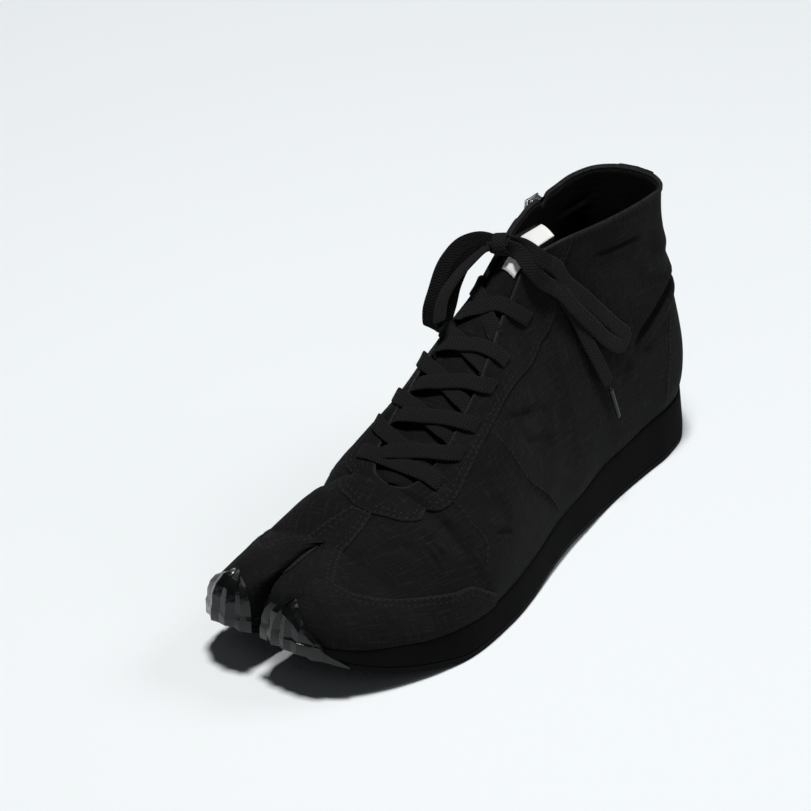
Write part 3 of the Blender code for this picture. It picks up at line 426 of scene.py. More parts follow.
# Creases, each row: half width, press in, ridge beside, then (rib, depth below the top line) places
CREASES = [
    (2.6, 3.0, 1.5, [(5.90, 47), (5.84, 51), (5.78, 55), (5.68, 62.6), (5.56, 71), (5.48, 77)]),
    (1.3, 1.5, 0.9, [(5.28, 17.2), (5.40, 18.3), (5.50, 18.9), (5.60, 19.6)]),
    (1.3, 0.9, 0.6, [(4.53, 25), (4.64, 37), (4.77, 51)]),
    (1.6, 0.7, 0.5, [(4.62, 49), (4.74, 63), (4.87, 80)]),
    (1.2, 0.8, 0.5, [(4.23, 47), (4.31, 55), (4.37, 63)]),
    (1.1, 0.7, 0.5, [(3.77, 26), (3.76, 37), (3.78, 46)]),
    (1.1, 0.7, 0.5, [(3.68, 34), (3.66, 43), (3.65, 51)]),
    (4.0, 0.9, 0.6, [(5.62, 30), (5.74, 38), (5.84, 44)]),
    (3.5, 0.8, 0.5, [(5.40, 84), (5.52, 80), (5.62, 79)]),
    (3.0, 0.7, 0.5, [(4.66, 44), (4.76, 52), (4.84, 62)]),
    (3.0, 0.6, 0.5, [(4.52, 36), (4.62, 45), (4.68, 56)]),
    (3.5, 0.7, 0.4, [(4.24, 34), (4.32, 44), (4.36, 56)]),
    (2.6, 0.7, 0.5, [(3.72, 34), (3.90, 36), (4.06, 34)]),
    (2.6, 0.6, 0.4, [(3.30, 22), (3.46, 27), (3.60, 34)]),
    (3.4, 1.6, 0.7, [(6.12, 48), (6.22, 56), (6.32, 66), (6.40, 73)]),
    (1.6, 0.7, 0.5, [(6.22, 20), (6.34, 21.5), (6.46, 21)]),
    (3.4, 0.9, 0.5, [(6.90, 50), (7.04, 58), (7.14, 70)]),
    (3.0, 0.7, 0.5, [(7.28, 40), (7.40, 50), (7.46, 62)]),
    (3.0, 0.7, 0.4, [(8.30, 24), (8.16, 32), (8.02, 36)])]
# Joins, each row: half width, press in, ridge beside, then (rib, height above the feather line) places
JOINS = [
    (0.7, 0.55, 0.35, [(4.42, 77), (4.44, 72.9), (4.50, 59.4), (4.58, 39.3), (4.70, 22.5), (4.78, 6.7),
                       (4.80, 0)]),
    (0.7, 0.5, 0.3, [(4.10, 62), (4.12, 56.3), (4.12, 44.5), (4.14, 31.5), (4.06, 21)]),
    (0.7, 0.5, 0.3, [(5.74, 56), (5.72, 47.7), (5.70, 29.3), (5.68, 14.3), (5.68, 0)]),
    (0.7, 0.55, 0.35, [(7.58, 72), (7.52, 58), (7.44, 39), (7.34, 22), (7.28, 0)]),
    (0.7, 0.5, 0.3, [(7.90, 62), (7.89, 54), (7.88, 42), (7.87, 30), (7.94, 21)]),
    (0.7, 0.5, 0.3, [(6.26, 56), (6.28, 46), (6.30, 28), (6.31, 14), (6.31, 0)])]


def laid_line(places, count):
    """Ribs and distances on a smooth line through a few places of the canvas."""
    rib, far = through([(k * RIB_WEIGHT, d) for k, d in places], count).T
    return rib / RIB_WEIGHT, far


crease_lines = []
for half, press, ridge, places in CREASES:
    rib, depth = laid_line(places, 24)
    crease_lines.append((half, press, ridge, canvas(rib, below_top(rib, depth))))
for half, press, ridge, places in JOINS:
    crease_lines.append((half, press, ridge, canvas(*laid_line(places, 30))))


def off_line(points, line):
    """Distance of points from a polyline, and the share of its length at the nearest place."""
    best = np.full(len(points), 1e9)
    share = np.zeros(len(points))
    for i, (start, end) in enumerate(zip(line, line[1:])):
        side = end - start
        t = np.clip((points - start) @ side / max(side @ side, 1e-9), 0, 1)
        far = np.linalg.norm(points - start - t[:, None] * side, axis=1)
        nearer = far < best
        best = np.where(nearer, far, best)
        share = np.where(nearer, (i + t) / (len(line) - 1), share)
    return best, share


def relief(points):
    """How far the worn canvas stands off its smooth face, in millimetres."""
    x, y, z = points.T
    off = 0.28 * np.sin(x / 8 + y / 17 + 1) * np.sin(y / 11 - z / 14)
    off += 0.2 * np.sin(z / 6 + x / 13) * np.sin(y / 7 + 2)
    for half, press, ridge, line in crease_lines:
        near = np.linalg.norm(points - line.mean(0), axis=1) < np.ptp(line, axis=0).max() + 6 * half
        far, share = off_line(points[near], line)
        ends = np.clip(np.minimum(share, 1 - share) * 5, 0, 1)
        raised, pressed = np.exp(-((far - 2 * half) / half)**2), np.exp(-(far / half)**2)
        off[near] += ends * (ridge * raised - press * pressed)
    return off


def skin(rib, height, lift=0.0):
    """World points of the worn canvas, lifted off it. Places that meet on its face stay together."""
    rib, height, lift = np.broadcast_arrays(rib, height, lift)
    base = canvas(rib, height).reshape(-1, 3)
    normal = canvas_normal(rib, height).reshape(-1, 3)
    _, name = np.unique(np.round(base, 2), axis=0, return_inverse=True)
    name = name.ravel()
    total = np.zeros((name.max() + 1, 3))
    np.add.at(total, name, normal)
    normal = unit(total[name])
    return (base + normal * (relief(base) + lift.ravel())[:, None]).reshape(rib.shape + (3,))


print("creases", len(CREASES), "joins", len(JOINS))

# %% [markdown]
# Most pieces of a shoe are cut from flat cloth, so each starts as a flat grid primitive
# whose points are then moved onto the last. The grid's own columns and rows give the
# cloth its thread directions, kept in metres in a UV map named cloth.


# %% Cloth grids
def alone(piece=None):
    """Select nothing, or one piece."""
    bpy.ops.object.select_all(action="DESELECT")
    if piece:
        piece.select_set(True)
        bpy.context.view_layer.objects.active = piece


def cloth(name, points, threads=None):
    """A grid primitive moved to rows by columns of world points in millimetres."""
    rows, columns = points.shape[:2]
    alone()
    bpy.ops.mesh.primitive_grid_add(x_subdivisions=columns - 1, y_subdivisions=rows - 1, size=1)
    piece = bpy.context.object
    piece.name = piece.data.name = name
    mesh = piece.data
    flat = np.empty(len(mesh.vertices) * 3)
    mesh.vertices.foreach_get("co", flat)
    flat = flat.reshape(-1, 3)
    column = np.rint((flat[:, 0] + 0.5) * (columns - 1)).astype(int)
    row = np.rint((flat[:, 1] + 0.5) * (rows - 1)).astype(int)
    mesh.vertices.foreach_set("co", (points[row, column] * MM).ravel())
    if threads is None:
        across = np.r_[0, np.cumsum(np.linalg.norm(np.diff(points, axis=1), axis=2).mean(axis=0))]
        along = np.r_[0, np.cumsum(np.linalg.norm(np.diff(points, axis=0), axis=2).mean(axis=1))]
        threads = np.stack(np.meshgrid(across, along), -1)
    corner = np.empty(len(mesh.loops), int)
    mesh.loops.foreach_get("vertex_index", corner)
    mesh.uv_layers[0].name = "cloth"
    mesh.uv_layers["cloth"].data.foreach_set("uv", (threads[row, column][corner] * MM).ravel())
    return piece


print("a unit of the cloth map is", round(1 / MM), "mm")

# %% [markdown]
# A grid becomes a finished piece in a few steps: doubles are merged where its edges meet,
# modifiers give it thickness or rounded edges, and grids that are sewn into one are joined.
# Then it gets its finish and rides a body of the frame, in place of its plain solid.

# %% Finishing a piece
SHOE = "shoe"


def weld(piece, threshold=0.00003):
    """Merge the doubles of a piece."""
    alone(piece)
    bpy.ops.object.mode_set(mode="EDIT")
    bpy.ops.mesh.select_all(action="SELECT")
    bpy.ops.mesh.remove_doubles(threshold=threshold)
    bpy.ops.object.mode_set(mode="OBJECT")


def modify(piece, kind, **settings):
    """Add a modifier and apply it."""
    alone(piece)
    change = piece.modifiers.new(kind.lower(), kind)
    for name, value in settings.items():
        setattr(change, name, value)
    bpy.ops.object.modifier_apply(modifier=change.name)


def joined(name, pieces):
    alone(pieces[0])
    for piece in pieces:
        piece.select_set(True)
    bpy.ops.object.join()
    pieces[0].name = pieces[0].data.name = name
    return pieces[0]


def dress(piece, material, slot, *nodes, body=SHOE, sharp=None):
    """Shade a piece, give it its finish, and hang it on its body in place of its solids."""
    alone(piece)
    bpy.ops.object.shade_smooth()
    if sharp:
        bpy.ops.object.shade_smooth_by_angle(angle=math.radians(sharp))
    piece.data.materials.clear()
    piece.data.materials.append(material)
    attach(piece, body)
    if nodes:
        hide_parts(*nodes)
    print(piece.name, len(piece.data.polygons), "faces")
    return piece


def mark(piece, name, values):
    """Keep a number for each point of a piece, for its material."""
    kept = piece.data.attributes.new(name, "FLOAT", "POINT").data
    kept.foreach_set("value", np.broadcast_to(values, len(kept)).astype(np.float32))


print("pieces ride", SHOE)

# %% [markdown]
# The canvas is a coarse black cotton with slubs, thick places in its threads that run
# both ways. A photo of cloth would be quicker, but waves and stretched noises on the
# cloth map keep the true thread size on every panel. Folded edges are painted paler, a painted highlight
# where light catches them, and raw edges are paler where they really fray.

# %% Canvas finish
THREAD = 0.85


def cloth_height(wires, pitch):
    """Thread relief and slub streaks on the cloth map, as two wires from 0 to 1."""
    place = wires.node("UVMap", {"uv_map": "cloth"})
    split = wires.node("SeparateXYZ", {}, {0: place})
    across, along = split, Wire(wires.tree, split.socket.node.outputs[1])
    wobble = wires.noise(place, 220.0) * 1.6
    turn = 2 * math.pi / (pitch * MM)
    weave = (across * turn + wobble).sine() * (along * turn + wobble).sine() * 0.5 + 0.5
    weft = wires.noise(wires.stretched(place, 90.0, 1100.0), 1.0, 3.0)
    warp = wires.noise(wires.stretched(place, 1100.0, 90.0), 1.0, 3.0)
    slub = weft.between(0.5, 0.72) + warp.between(0.52, 0.74)
    return weave, slub


def canvas_finish(name, dark, pale, highlight_and_fray):
    made, wires, shader = finish(name, Sheen_Weight=0.012, Sheen_Roughness=0.4, Specular_IOR_Level=0.08)
    weave, slub = cloth_height(wires, THREAD)
    place = wires.node("TexCoord", out="Object")
    cloud = wires.noise(place, 38.0, 4.0).between(0.3, 0.75)
    colour = wires.blend(cloud * 0.3 + slub * 0.55, dark, pale)
    # Pale where the edge attribute is high: a painted highlight on folded edges, and real fraying on raw
    # edges.
    wear = wires.node("Attribute", {"attribute_name": "wear"}, out="Fac")
    thread_grain = wires.noise(place, 900.0, 2.0).between(0.35, 0.7)
    feed(shader, wires, Base_Color=wires.blend(wear * (0.35 + 0.65 * thread_grain), colour, highlight_and_fray),
         Roughness=0.84 + 0.1 * cloud)
    bump(wires, shader, weave * 0.5 + slub * 0.7, 0.00028, 0.9)
    return made


black_canvas = canvas_finish("black_canvas", dark=(0.0055, 0.0055, 0.006), pale=(0.0175, 0.0172, 0.0178),
                             highlight_and_fray=(0.036, 0.036, 0.038))
print(black_canvas.name, len(black_canvas.node_tree.nodes), "nodes")

# %% [markdown]
# The upper is one hollow wall, open at the collar, the throat and underneath. It is a
# single grid wrapped round the last, welded along the ridges of the toes and vamp, and
# then given its thickness inwards. The rim is a narrow fold, with a notch at the zip.

# %% Upper
COLUMNS = 26, 26, 26, 40, 84, 84
PANEL_ROWS = 74
RIM_DEPTHS = 4.0, 3.3, 2.8, 1.6, 0.7, 0.2, 0.0
WALL = 1.8
ZIP_RIB = 6.56
NOTCH_DEEP, NOTCH_HALF, NOTCH_REACH = 5.0, 0.022, 24
# Fold along the rim: how far it stands out, its depth, the step at its edge, its turn inwards
FOLD_OUT, FOLD_DEEP, FOLD_STEP, TURN_IN, TURN_DEEP = 0.55, 3.3, 0.5, 0.5, 0.7
# Painted highlight along the rim, by its depth, and along the foot of the wall, by its height
RIM_HIGHLIGHT, RIM_HIGHLIGHT_HALF, FOOT_HIGHLIGHT, FOOT_HIGHLIGHT_HIGH = 0.9, 1.6, 0.3, 8
lateral = [k + i / count for k, count in enumerate(COLUMNS) for i in range(count)]
around = np.array(lateral + [STRETCHES / 2] + [STRETCHES - k for k in reversed(lateral)])
long = rib_length(around)
heights = np.vstack([np.linspace(0, 1, PANEL_ROWS)[:-1, None] * (long - RIM_DEPTHS[0])]
                    + [long - depth for depth in RIM_DEPTHS])
on_rim = ((around >= 4) & (around <= 8)).astype(float)
notch = NOTCH_DEEP * np.exp(-((around - ZIP_RIB) / NOTCH_HALF)**2)
depths = long - heights
heights = np.maximum(heights - notch * np.clip(1 - depths / NOTCH_REACH, 0, 1), 0)
fold = on_rim * (FOLD_OUT * np.clip((FOLD_DEEP - depths) / FOLD_STEP, 0, 1)
                 - TURN_IN * np.clip((TURN_DEEP - depths) / TURN_DEEP, 0, 1)**2)
# A painted highlight: the rim's fold and the foot of the wall are painted paler, where light catches them.
highlight_and_fray = np.maximum(on_rim * np.clip(1 - np.abs(depths - RIM_HIGHLIGHT) / RIM_HIGHLIGHT_HALF, 0, 1),
                  FOOT_HIGHLIGHT * np.clip(1 - heights / FOOT_HIGHLIGHT_HIGH, 0, 1))
across = run_along(canvas(around, 30.0))
threads = np.stack([np.broadcast_to(across, heights.shape), heights], -1)
wall = skin(around, heights, fold)
wall[0, :, 2] -= FOOT_GAP
upper = cloth("upper_canvas", wall, threads)
mark(upper, "wear", highlight_and_fray.ravel())
weld(upper)
modify(upper, "SOLIDIFY", thickness=WALL * MM, offset=-1.0)
dress(upper, black_canvas, "canvas", "upper")

# %% [markdown]
# Overlays are second layers of canvas: the T over the toes, the eyestay round the throat
# and the strip up the heel. A solid cut between two offsets would show square edges, so
# each is a grid in its own outline whose lift falls to nothing at its folded edge.

# %% Overlay sheets
LIFT = 1.15
ROLL = 0.9
EDGE_STEPS = 0.0, 0.12, 0.35, 0.75, 1.5, 3.0


def rolled(points, edge):
    """Lift of an overlay: full inside it and rounding to nothing at its edge."""
    tree = KDTree(len(edge))
    for i, p in enumerate(edge):
        tree.insert(p, i)
    tree.balance()
    far = np.array([tree.find(p)[2] for p in points.reshape(-1, 3)]).reshape(points.shape[:-1])
    inside = np.clip(far / ROLL, 0, 1)
    return LIFT * np.sqrt(1 - (1 - inside)**2) - 0.12 * (1 - inside), far


def edge_ribs(start, end, count, tight_start, tight_end):
    """Rib numbers between two ends, close together by an end that is a folded edge."""
    per_mm = 1 / np.linalg.norm(canvas(end, 20.0) - canvas(start, 20.0)) * (end - start)
    inner = np.linspace(start, end, count)
    steps = np.array(EDGE_STEPS) * per_mm
    extra = np.r_[start + steps if tight_start else [], end - steps if tight_end else []]
    return np.unique(np.round(np.r_[inner, extra], 5))


def edge_shares(length, count):
    """Heights above a start, close together by the far end."""
    steps = np.array(EDGE_STEPS[::-1])[:, None]
    even = np.linspace(0, 1, count)[:, None] * np.maximum(length - 4.2, length * 0.3)
    return np.vstack([even, length - np.minimum(steps, length * 0.6)])


def overlay(name, rib, height, edge, frayed=0.0):
    """A canvas sheet over ribs by heights that rolls down at an edge line."""
    lift, far = rolled(canvas(rib, height), edge)
    across = run_along(canvas(rib[0], 25.0))
    threads = np.stack([np.broadcast_to(across, height.shape), height], -1)
    piece = cloth(name, skin(rib, height, lift), threads)
    # A painted highlight along the folded edge, where the cloth rolls down; raw edges add their real fray.
    mark(piece, "wear", np.maximum(0.55 * np.clip(1 - np.abs(far - 0.5) / 0.7, 0, 1), frayed).ravel())
    return piece


def mirrored(rib, medial):
    return STRETCHES - rib if medial else rib


print("overlays stand", LIFT, "mm off the upper")

# %% [markdown]
# The toe piece is one cut of canvas: a band over both toes, and a stem that runs back to the
# eyestay between two open panels of the vamp. Band and stem are made as grids of their own on
# each side, and welded. At the cleft the same cloth turns down and thins out.

# %% Toe overlay
# Toe band and stem on the lateral side, each row: rib, height of the band, depth of the stem
TOE_SEAM = np.array([
    (1.0, 14, 11), (2.0, 20, 11), (2.36, 34, 12.2), (2.44, 38.8, 12.4), (2.48, 36.5, 12.2),
    (2.54, 32.5, 12.0), (2.66, 29.2, 11.4), (3.02, 23.6, 10.2), (3.26, 21.2, 9.1), (3.52, 19.1, 6.6),
    (3.62, 18.2, 5.7), (3.92, 15.3, 5.7), (4.08, 7.7, 5.7), (4.2, 3, 5.7)])
CORNER, STEM_END, BAND_END = 2.44, 3.58, 4.1
TURN_DOWN = 6.0
toe_edges, toe_parts = {}, []
for medial in (False, True):
    side = edge_ribs(1.0, BAND_END, 96, False, True)
    band_high, stem_deep = smooth(TOE_SEAM[:, 0], TOE_SEAM[:, 1:], side).T
    length = rib_length(mirrored(side, medial))
    top_of_band = np.minimum(band_high, length - stem_deep)
    foot_of_stem = np.maximum(length - stem_deep, top_of_band)
    foot_of_stem = np.where(side <= CORNER, top_of_band, foot_of_stem)
    hole = side >= CORNER
    stems = side <= STEM_END
    lower = canvas(mirrored(side[hole], medial), top_of_band[hole])
    over = canvas(mirrored(side[hole & stems], medial), foot_of_stem[hole & stems])
    stem_rib = mirrored(STEM_END, medial)
    stem_end = canvas(stem_rib, below_top(stem_rib, np.linspace(0, 5.7, 20)))
    band_end = canvas(mirrored(BAND_END, medial), np.linspace(0, 8, 20))
    seam = np.vstack([lower[::-1], over])
    toe_edges[medial] = seam
    edge = np.vstack([through(seam, 900), stem_end, band_end])
    band_rows = edge_shares(top_of_band, 16)
    stem_rows = length[stems] - edge_shares((length - foot_of_stem)[stems], 9)
    for name, at, height, turned in (("toe_band", side, band_rows, medial),
                                     ("toe_stem", side[stems], stem_rows, not medial)):
        rib = np.broadcast_to(mirrored(at, medial), height.shape)
        order = -1 if turned else 1
        toe_parts.append(overlay(name, rib[::order], height[::order], edge))
for start in (0.0, STRETCHES - 1.0):
    side = start + np.linspace(0, 1, 40)
    height = rib_length(side) - np.linspace(TURN_DOWN, 0, 24)[:, None]
    fade = np.linspace(0, 1, 24)[:, None]
    thin = LIFT * fade**2 - 0.1 * (1 - fade)
    rib = np.broadcast_to(side, height.shape)
    piece = cloth("toe_turn_down", skin(rib, height, np.broadcast_to(thin, height.shape)))
    mark(piece, "wear", 0.0)
    toe_parts.append(piece)
toe = joined("toe_overlay_canvas", toe_parts)
weld(toe)
dress(toe, black_canvas, "canvas", "toe_overlay")

# %% [markdown]
# The eyestay is a U of doubled canvas round the throat. Its throat edge is cut raw, so
# it frays paler than the folded seam on its outer side. Each side is its own grid, and
# the two are welded where they meet on the ridge of the vamp.

# %% Eyestay
# Its outer edge, each row: rib, depth
STAY_SEAM = np.array([
    (3.58, 5.2), (3.62, 9.0), (3.70, 17.3), (3.80, 22.5), (3.88, 24.4), (3.98, 22.6), (4.06, 20.5),
    (4.12, 19.3), (4.24, 17.1), (4.36, 17.5), (4.56, 21.3), (4.70, 27.5), (4.80, 33.8), (4.92, 38.6),
    (5.0, 38.2), (5.06, 29), (5.10, 19.6), (5.14, 11.4), (5.19, 4.2)])
STAY_START, STAY_END = 3.58, 5.18


def between_edges(length, count):
    """Distances from 0 to a length, close together by both ends."""
    near = np.array(EDGE_STEPS)[:, None] * np.minimum(1, length / 12)
    middle = np.linspace(0, 1, count)[1:-1, None] * (length - 2 * near[-1]) + near[-1]
    return np.vstack([near, middle, length - near[::-1]])


stay_parts, stay_edges = [], {}
for medial in (False, True):
    side = edge_ribs(STAY_START, STAY_END, 150, True, True)
    depth = smooth(STAY_SEAM[:, 0], STAY_SEAM[:, 1], side)
    rib = mirrored(side, medial)
    throat = side >= 4.0
    seam = canvas(rib, below_top(rib, depth))
    raw = canvas(rib[throat], rib_length(rib[throat]))
    front, last = (canvas(rib[i], below_top(rib[i], np.linspace(0, depth[i], 30))) for i in (0, -1))
    stay_edges[medial] = seam
    rows = below_top(rib, between_edges(depth, 12))
    if not medial:
        rows = rows[::-1]
    edge = np.vstack([through(seam, 900), through(raw, 800), front, last])
    frayed = np.clip(1.6 - (rib_length(rib) - rows) / 0.6, 0, 1) * (side >= 4.02)
    stay_parts.append(overlay("eyestay_side", np.broadcast_to(rib, rows.shape), rows, edge, frayed))
eyestay = joined("eyestay_canvas", stay_parts)
weld(eyestay)
dress(eyestay, black_canvas, "canvas", "eyestay")

# %% [markdown]
# A strip of canvas runs up the heel and covers the seam where both quarters meet. It is the
# simplest overlay, one grid with two folded edges, and it could be cut from the upper's own
# faces, but then its edges would follow the upper's columns and not its own outline.

# %% Heel strip
BACK_START = 5.9
half = edge_ribs(BACK_START, 6.0, 20, True, False)
side = np.unique(np.round(np.r_[half, STRETCHES - half], 5))
long = rib_length(side)
rows = np.linspace(0, 1, 70)[:, None] * (long - 0.2)
edge = np.vstack([canvas(k, np.linspace(0, rib_length(k), 500)) for k in (side[0], side[-1])])
backstay = overlay("backstay_canvas", np.broadcast_to(side, rows.shape), rows, edge)
dress(backstay, black_canvas, "canvas", "backstay")

# %% [markdown]
# Stitches, lace ends and zip teeth all lie on the worn canvas, so a point near it has to be
# moved onto it. Shrinkwrap could do that to a mesh; a search for the nearest stored place of
# the last does it to bare points, and gives the canvas normal at the same time.

# %% Onto the canvas
grid_rib, grid_share = np.meshgrid(ribs[:-1], np.linspace(0.01, 0.99, 70), indexing="ij")
snap_rib, snap_height = grid_rib.ravel(), (grid_share * rib_length(grid_rib)).ravel()
snap_points = canvas(snap_rib, snap_height)
snap_tree = KDTree(len(snap_points))
for i, p in enumerate(snap_points):
    snap_tree.insert(p, i)
snap_tree.balance()


def snapped(points, lift):
    """Points moved onto the worn canvas and lifted off it, with its normals."""
    near = np.array([snap_tree.find(p)[1] for p in points])
    normal = canvas_normal(snap_rib[near], snap_height[near])
    flat = points - normal * ((points - snap_points[near]) * normal).sum(1)[:, None]
    return flat + normal * (relief(flat) + lift)[:, None], normal


print("stored places", len(snap_points))

# %% [markdown]
# Two rows of stitches hold the toe piece and the eyestay, a little way in from their edges.
# The heel strip, the joins of the panels, the rim and both sides of the zip have single rows.
# These lines are gathered first, so that one loop can sew them all.

# %% Seam lines
ROW_INSETS = 1.5, 4.0
RIM_SEAM = 3.9
ZIP_SEAM_OUT, ZIP_SEAM_DEPTHS = 8.6, (4, 88)


def inset(line, by):
    """A seam line moved sideways in the canvas, to the left of its run as seen from outside."""
    line = through(line, max(40, len(line) * 2))
    _, normal = snapped(line, 0.0)
    return line + by * unit(np.cross(normal, np.gradient(line, axis=0)))


# Seam lines, each row: line, sideways insets, lift of the cloth sewn through
seam_lines = []
for medial in (False, True):
    turn = 1 if medial else -1
    seam_lines.append((toe_edges[medial], [-turn * by for by in ROW_INSETS], LIFT))
    seam_lines.append((stay_edges[medial], [-turn * by for by in ROW_INSETS], LIFT))
    back = mirrored(BACK_START, medial)
    heel = canvas(back, np.linspace(2, rib_length(back) - 3, 60))
    seam_lines.append((heel, [turn * ROW_INSETS[0]], LIFT))
for half, press, ridge, line in crease_lines[len(CREASES):]:
    seam_lines.append((line, [ROW_INSETS[0]], 0.0))
for start, end, count in ((5.2, ZIP_RIB - 0.06, 200), (ZIP_RIB + 0.06, 7.0, 60)):
    rim = np.linspace(start, end, count)
    seam_lines.append((canvas(rim, below_top(rim, RIM_SEAM)), [0.0], 0.0))
ZIP_RIBS_PER_MM = 0.1 / np.linalg.norm(canvas(ZIP_RIB + 0.05, 60.0) - canvas(ZIP_RIB - 0.05, 60.0))
for out_by in (ZIP_SEAM_OUT, -ZIP_SEAM_OUT):
    rib = np.full(80, ZIP_RIB + out_by * ZIP_RIBS_PER_MM)
    seam_lines.append((canvas(rib, below_top(rib, np.linspace(*ZIP_SEAM_DEPTHS, 80))), [0.0], 0.0))
print("seam lines", len(seam_lines))

# %% [markdown]
# The seams are sewn with a thick black thread that catches the light. Single stitches are
# small rounded beads: one is made from a sphere, and copies are set along the seam line at an
# even pitch, each turned to the canvas under it and half sunk into it, as a tight stitch is.

# %% Stitches
STITCH_PITCH, STITCH_SINK = 3.1, 0.36
STITCH_SIZE = np.array([2.3, 0.84, 1.02])


def repeated(name, template, places, frames):
    """Copies of a small template mesh at places in millimetres, each with a 3 by 3 frame."""
    shape = np.empty(len(template.data.vertices) * 3)
    template.data.vertices.foreach_get("co", shape)
    shape = shape.reshape(-1, 3)
    faces = [list(p.vertices) for p in template.data.polygons]
    points = np.concatenate([place * MM + shape @ turn for place, turn in zip(places, frames)])
    mesh = bpy.data.meshes.new(name)
    mesh.from_pydata(points.tolist(), [], [[v + i * len(shape) for v in face]
                                           for i in range(len(places)) for face in faces])
    piece = bpy.data.objects.new(name, mesh)
    bpy.context.collection.objects.link(piece)
    return piece


places, frames = [], []
for line, insets, lift in seam_lines:
    for by in insets:
        sewn = inset(line, by)
        spots = at_distances(sewn, np.arange(STITCH_PITCH / 2, run_along(sewn)[-1], STITCH_PITCH))
        points, normal = snapped(spots, lift - STITCH_SINK)
        run = np.gradient(points, axis=0)
        run = unit(run - normal * (run * normal).sum(1)[:, None])
        places += list(points)
        frames += [np.array(rows) for rows in zip(run, np.cross(normal, run), normal)]
alone()
bpy.ops.mesh.primitive_uv_sphere_add(segments=6, ring_count=5, radius=1)
bead = bpy.context.object
bead.rotation_euler = (0, math.pi / 2, 0)
bpy.ops.object.transform_apply(location=False, rotation=True, scale=False)
bead.scale = STITCH_SIZE / 2 * MM
bpy.ops.object.transform_apply(location=False, rotation=False, scale=True)
stitches = repeated("seam_stitches", bead, places, frames)
bpy.data.objects.remove(bead, do_unlink=True)
thread, wires, shader = finish("black_thread", Base_Color=(0.013, 0.013, 0.0136, 1),
                               Specular_IOR_Level=0.22)
place = wires.node("TexCoord", out="Object")
feed(shader, wires, Roughness=0.62 + 0.2 * wires.noise(place, 700.0))
dress(stitches, thread, "canvas")
print("stitches", len(places))

# %% [markdown]
# The tongue is a padded strip of the same canvas under the throat. It follows both throat
# edges from below, bulges a little between them and leans back past the throat at its top.
# One grid gives that, because its rows go from one edge to the other at each height.

# %% Tongue
TONGUE_SHARES = np.linspace(0.015, 1.0, 76)
TONGUE_UNDERLAP = 14.0, 11.0, 8.0, 5.0, 2.5, 0.5
TONGUE_MIDDLE = np.linspace(0.06, 0.94, 17)
TONGUE_CLEAR, TONGUE_THICK, TONGUE_ARCH = 2.9, 3.0, 2.2
FRONT_RISE, FRONT_SHARE = 0.95, 0.12
# Lean of the top past the throat: across at the lateral and medial edges, back, up
LEAN_ACROSS, LEAN_BACK, LEAN_UP = (3.2, 6.0), 9.5, 3.5
clear = TONGUE_CLEAR - FRONT_RISE * np.exp(-(TONGUE_SHARES / FRONT_SHARE)**2)[:, None]


def throat_rib(medial, share):
    return mirrored(4 + share, medial)


def under_throat(medial, depth):
    """A line under one throat edge, by a depth below the top line."""
    rib = throat_rib(medial, TONGUE_SHARES)
    height = below_top(rib, max(depth, 0.6))
    return canvas(rib, height) - clear * canvas_normal(rib, height)


near, far = ([under_throat(medial, depth) for depth in TONGUE_UNDERLAP] for medial in (False, True))
middle = [near[-1] * (1 - f) + far[-1] * f + np.array([0, 0, TONGUE_ARCH * math.sin(math.pi * f)])
          for f in TONGUE_MIDDLE]
tongue_grid = np.array(near + middle + far[::-1]).transpose(1, 0, 2)
lean = np.empty_like(tongue_grid[-1])
lean[:, 0] = np.linspace(*LEAN_ACROSS, len(lean))
lean[:, 1:] = LEAN_BACK, LEAN_UP
tongue_grid = np.concatenate([tongue_grid, [tongue_grid[-1] + lean * f for f in (0.2, 0.4, 0.6, 0.8, 1.0)]])
spread = np.linspace(0, 1, tongue_grid.shape[1])
ripple = 0.35 * np.sin(np.linspace(0, 21, len(tongue_grid)))[:, None] * np.sin(math.pi * spread)
tongue_grid[..., 2] += ripple
tongue = cloth("tongue_canvas", tongue_grid[::-1])
mark(tongue, "wear", 0.0)
modify(tongue, "SOLIDIFY", thickness=TONGUE_THICK * MM, offset=-1.0)
dress(tongue, black_canvas, "canvas", "tongue")

# %% [markdown]
# A bare white tape is sewn to the top of the tongue, toward the lateral side. It takes the
# rows and columns of the tongue that it covers and lifts them along their normals, so that it
# lies on the tongue wherever the tongue leans.

# %% Label
# Rows of the tongue that it covers, and columns, counted from the lateral throat edge
LABEL_ROWS, LABEL_COLUMNS = 15, (-1, 11)
LABEL_LIFT, LABEL_THICK = 0.9, 0.7
start, end = (len(TONGUE_UNDERLAP) + column for column in LABEL_COLUMNS)
label_grid = tongue_grid[-LABEL_ROWS:, start:end]
normal = unit(np.cross(np.gradient(label_grid, axis=0), np.gradient(label_grid, axis=1)))
label = cloth("tongue_label_tape", (label_grid + LABEL_LIFT * normal)[::-1])
modify(label, "SOLIDIFY", thickness=LABEL_THICK * MM, offset=-1.0)
white_tape, wires, shader = finish("white_tape", Sheen_Weight=0.1)
weave, _ = cloth_height(wires, 0.5)
place = wires.node("TexCoord", out="Object")
stain = wires.noise(place, 120.0, 3.0)
feed(shader, wires, Base_Color=wires.blend(stain, (0.80, 0.80, 0.79), (0.88, 0.88, 0.87)),
     Roughness=0.8 + 0.1 * weave)
bump(wires, shader, weave, 0.00012, 0.6)
dress(label, white_tape, "label_cloth", "tongue_label")

# %% [markdown]
# The lace is a flat woven cotton about 8 mm wide. A band is a grid wrapped round a path:
# its columns follow the path and its rows go round a flat rounded section. Where a strand
# dives into a lace hole the section is pinched, and free ends close to a point.

# %% Lace band
LACE_WIDTH, LACE_THICK = 7.8, 1.4
SECTION = np.linspace(0, 2 * math.pi, 19)


def tangents(path):
    return unit(np.gradient(path, axis=0))


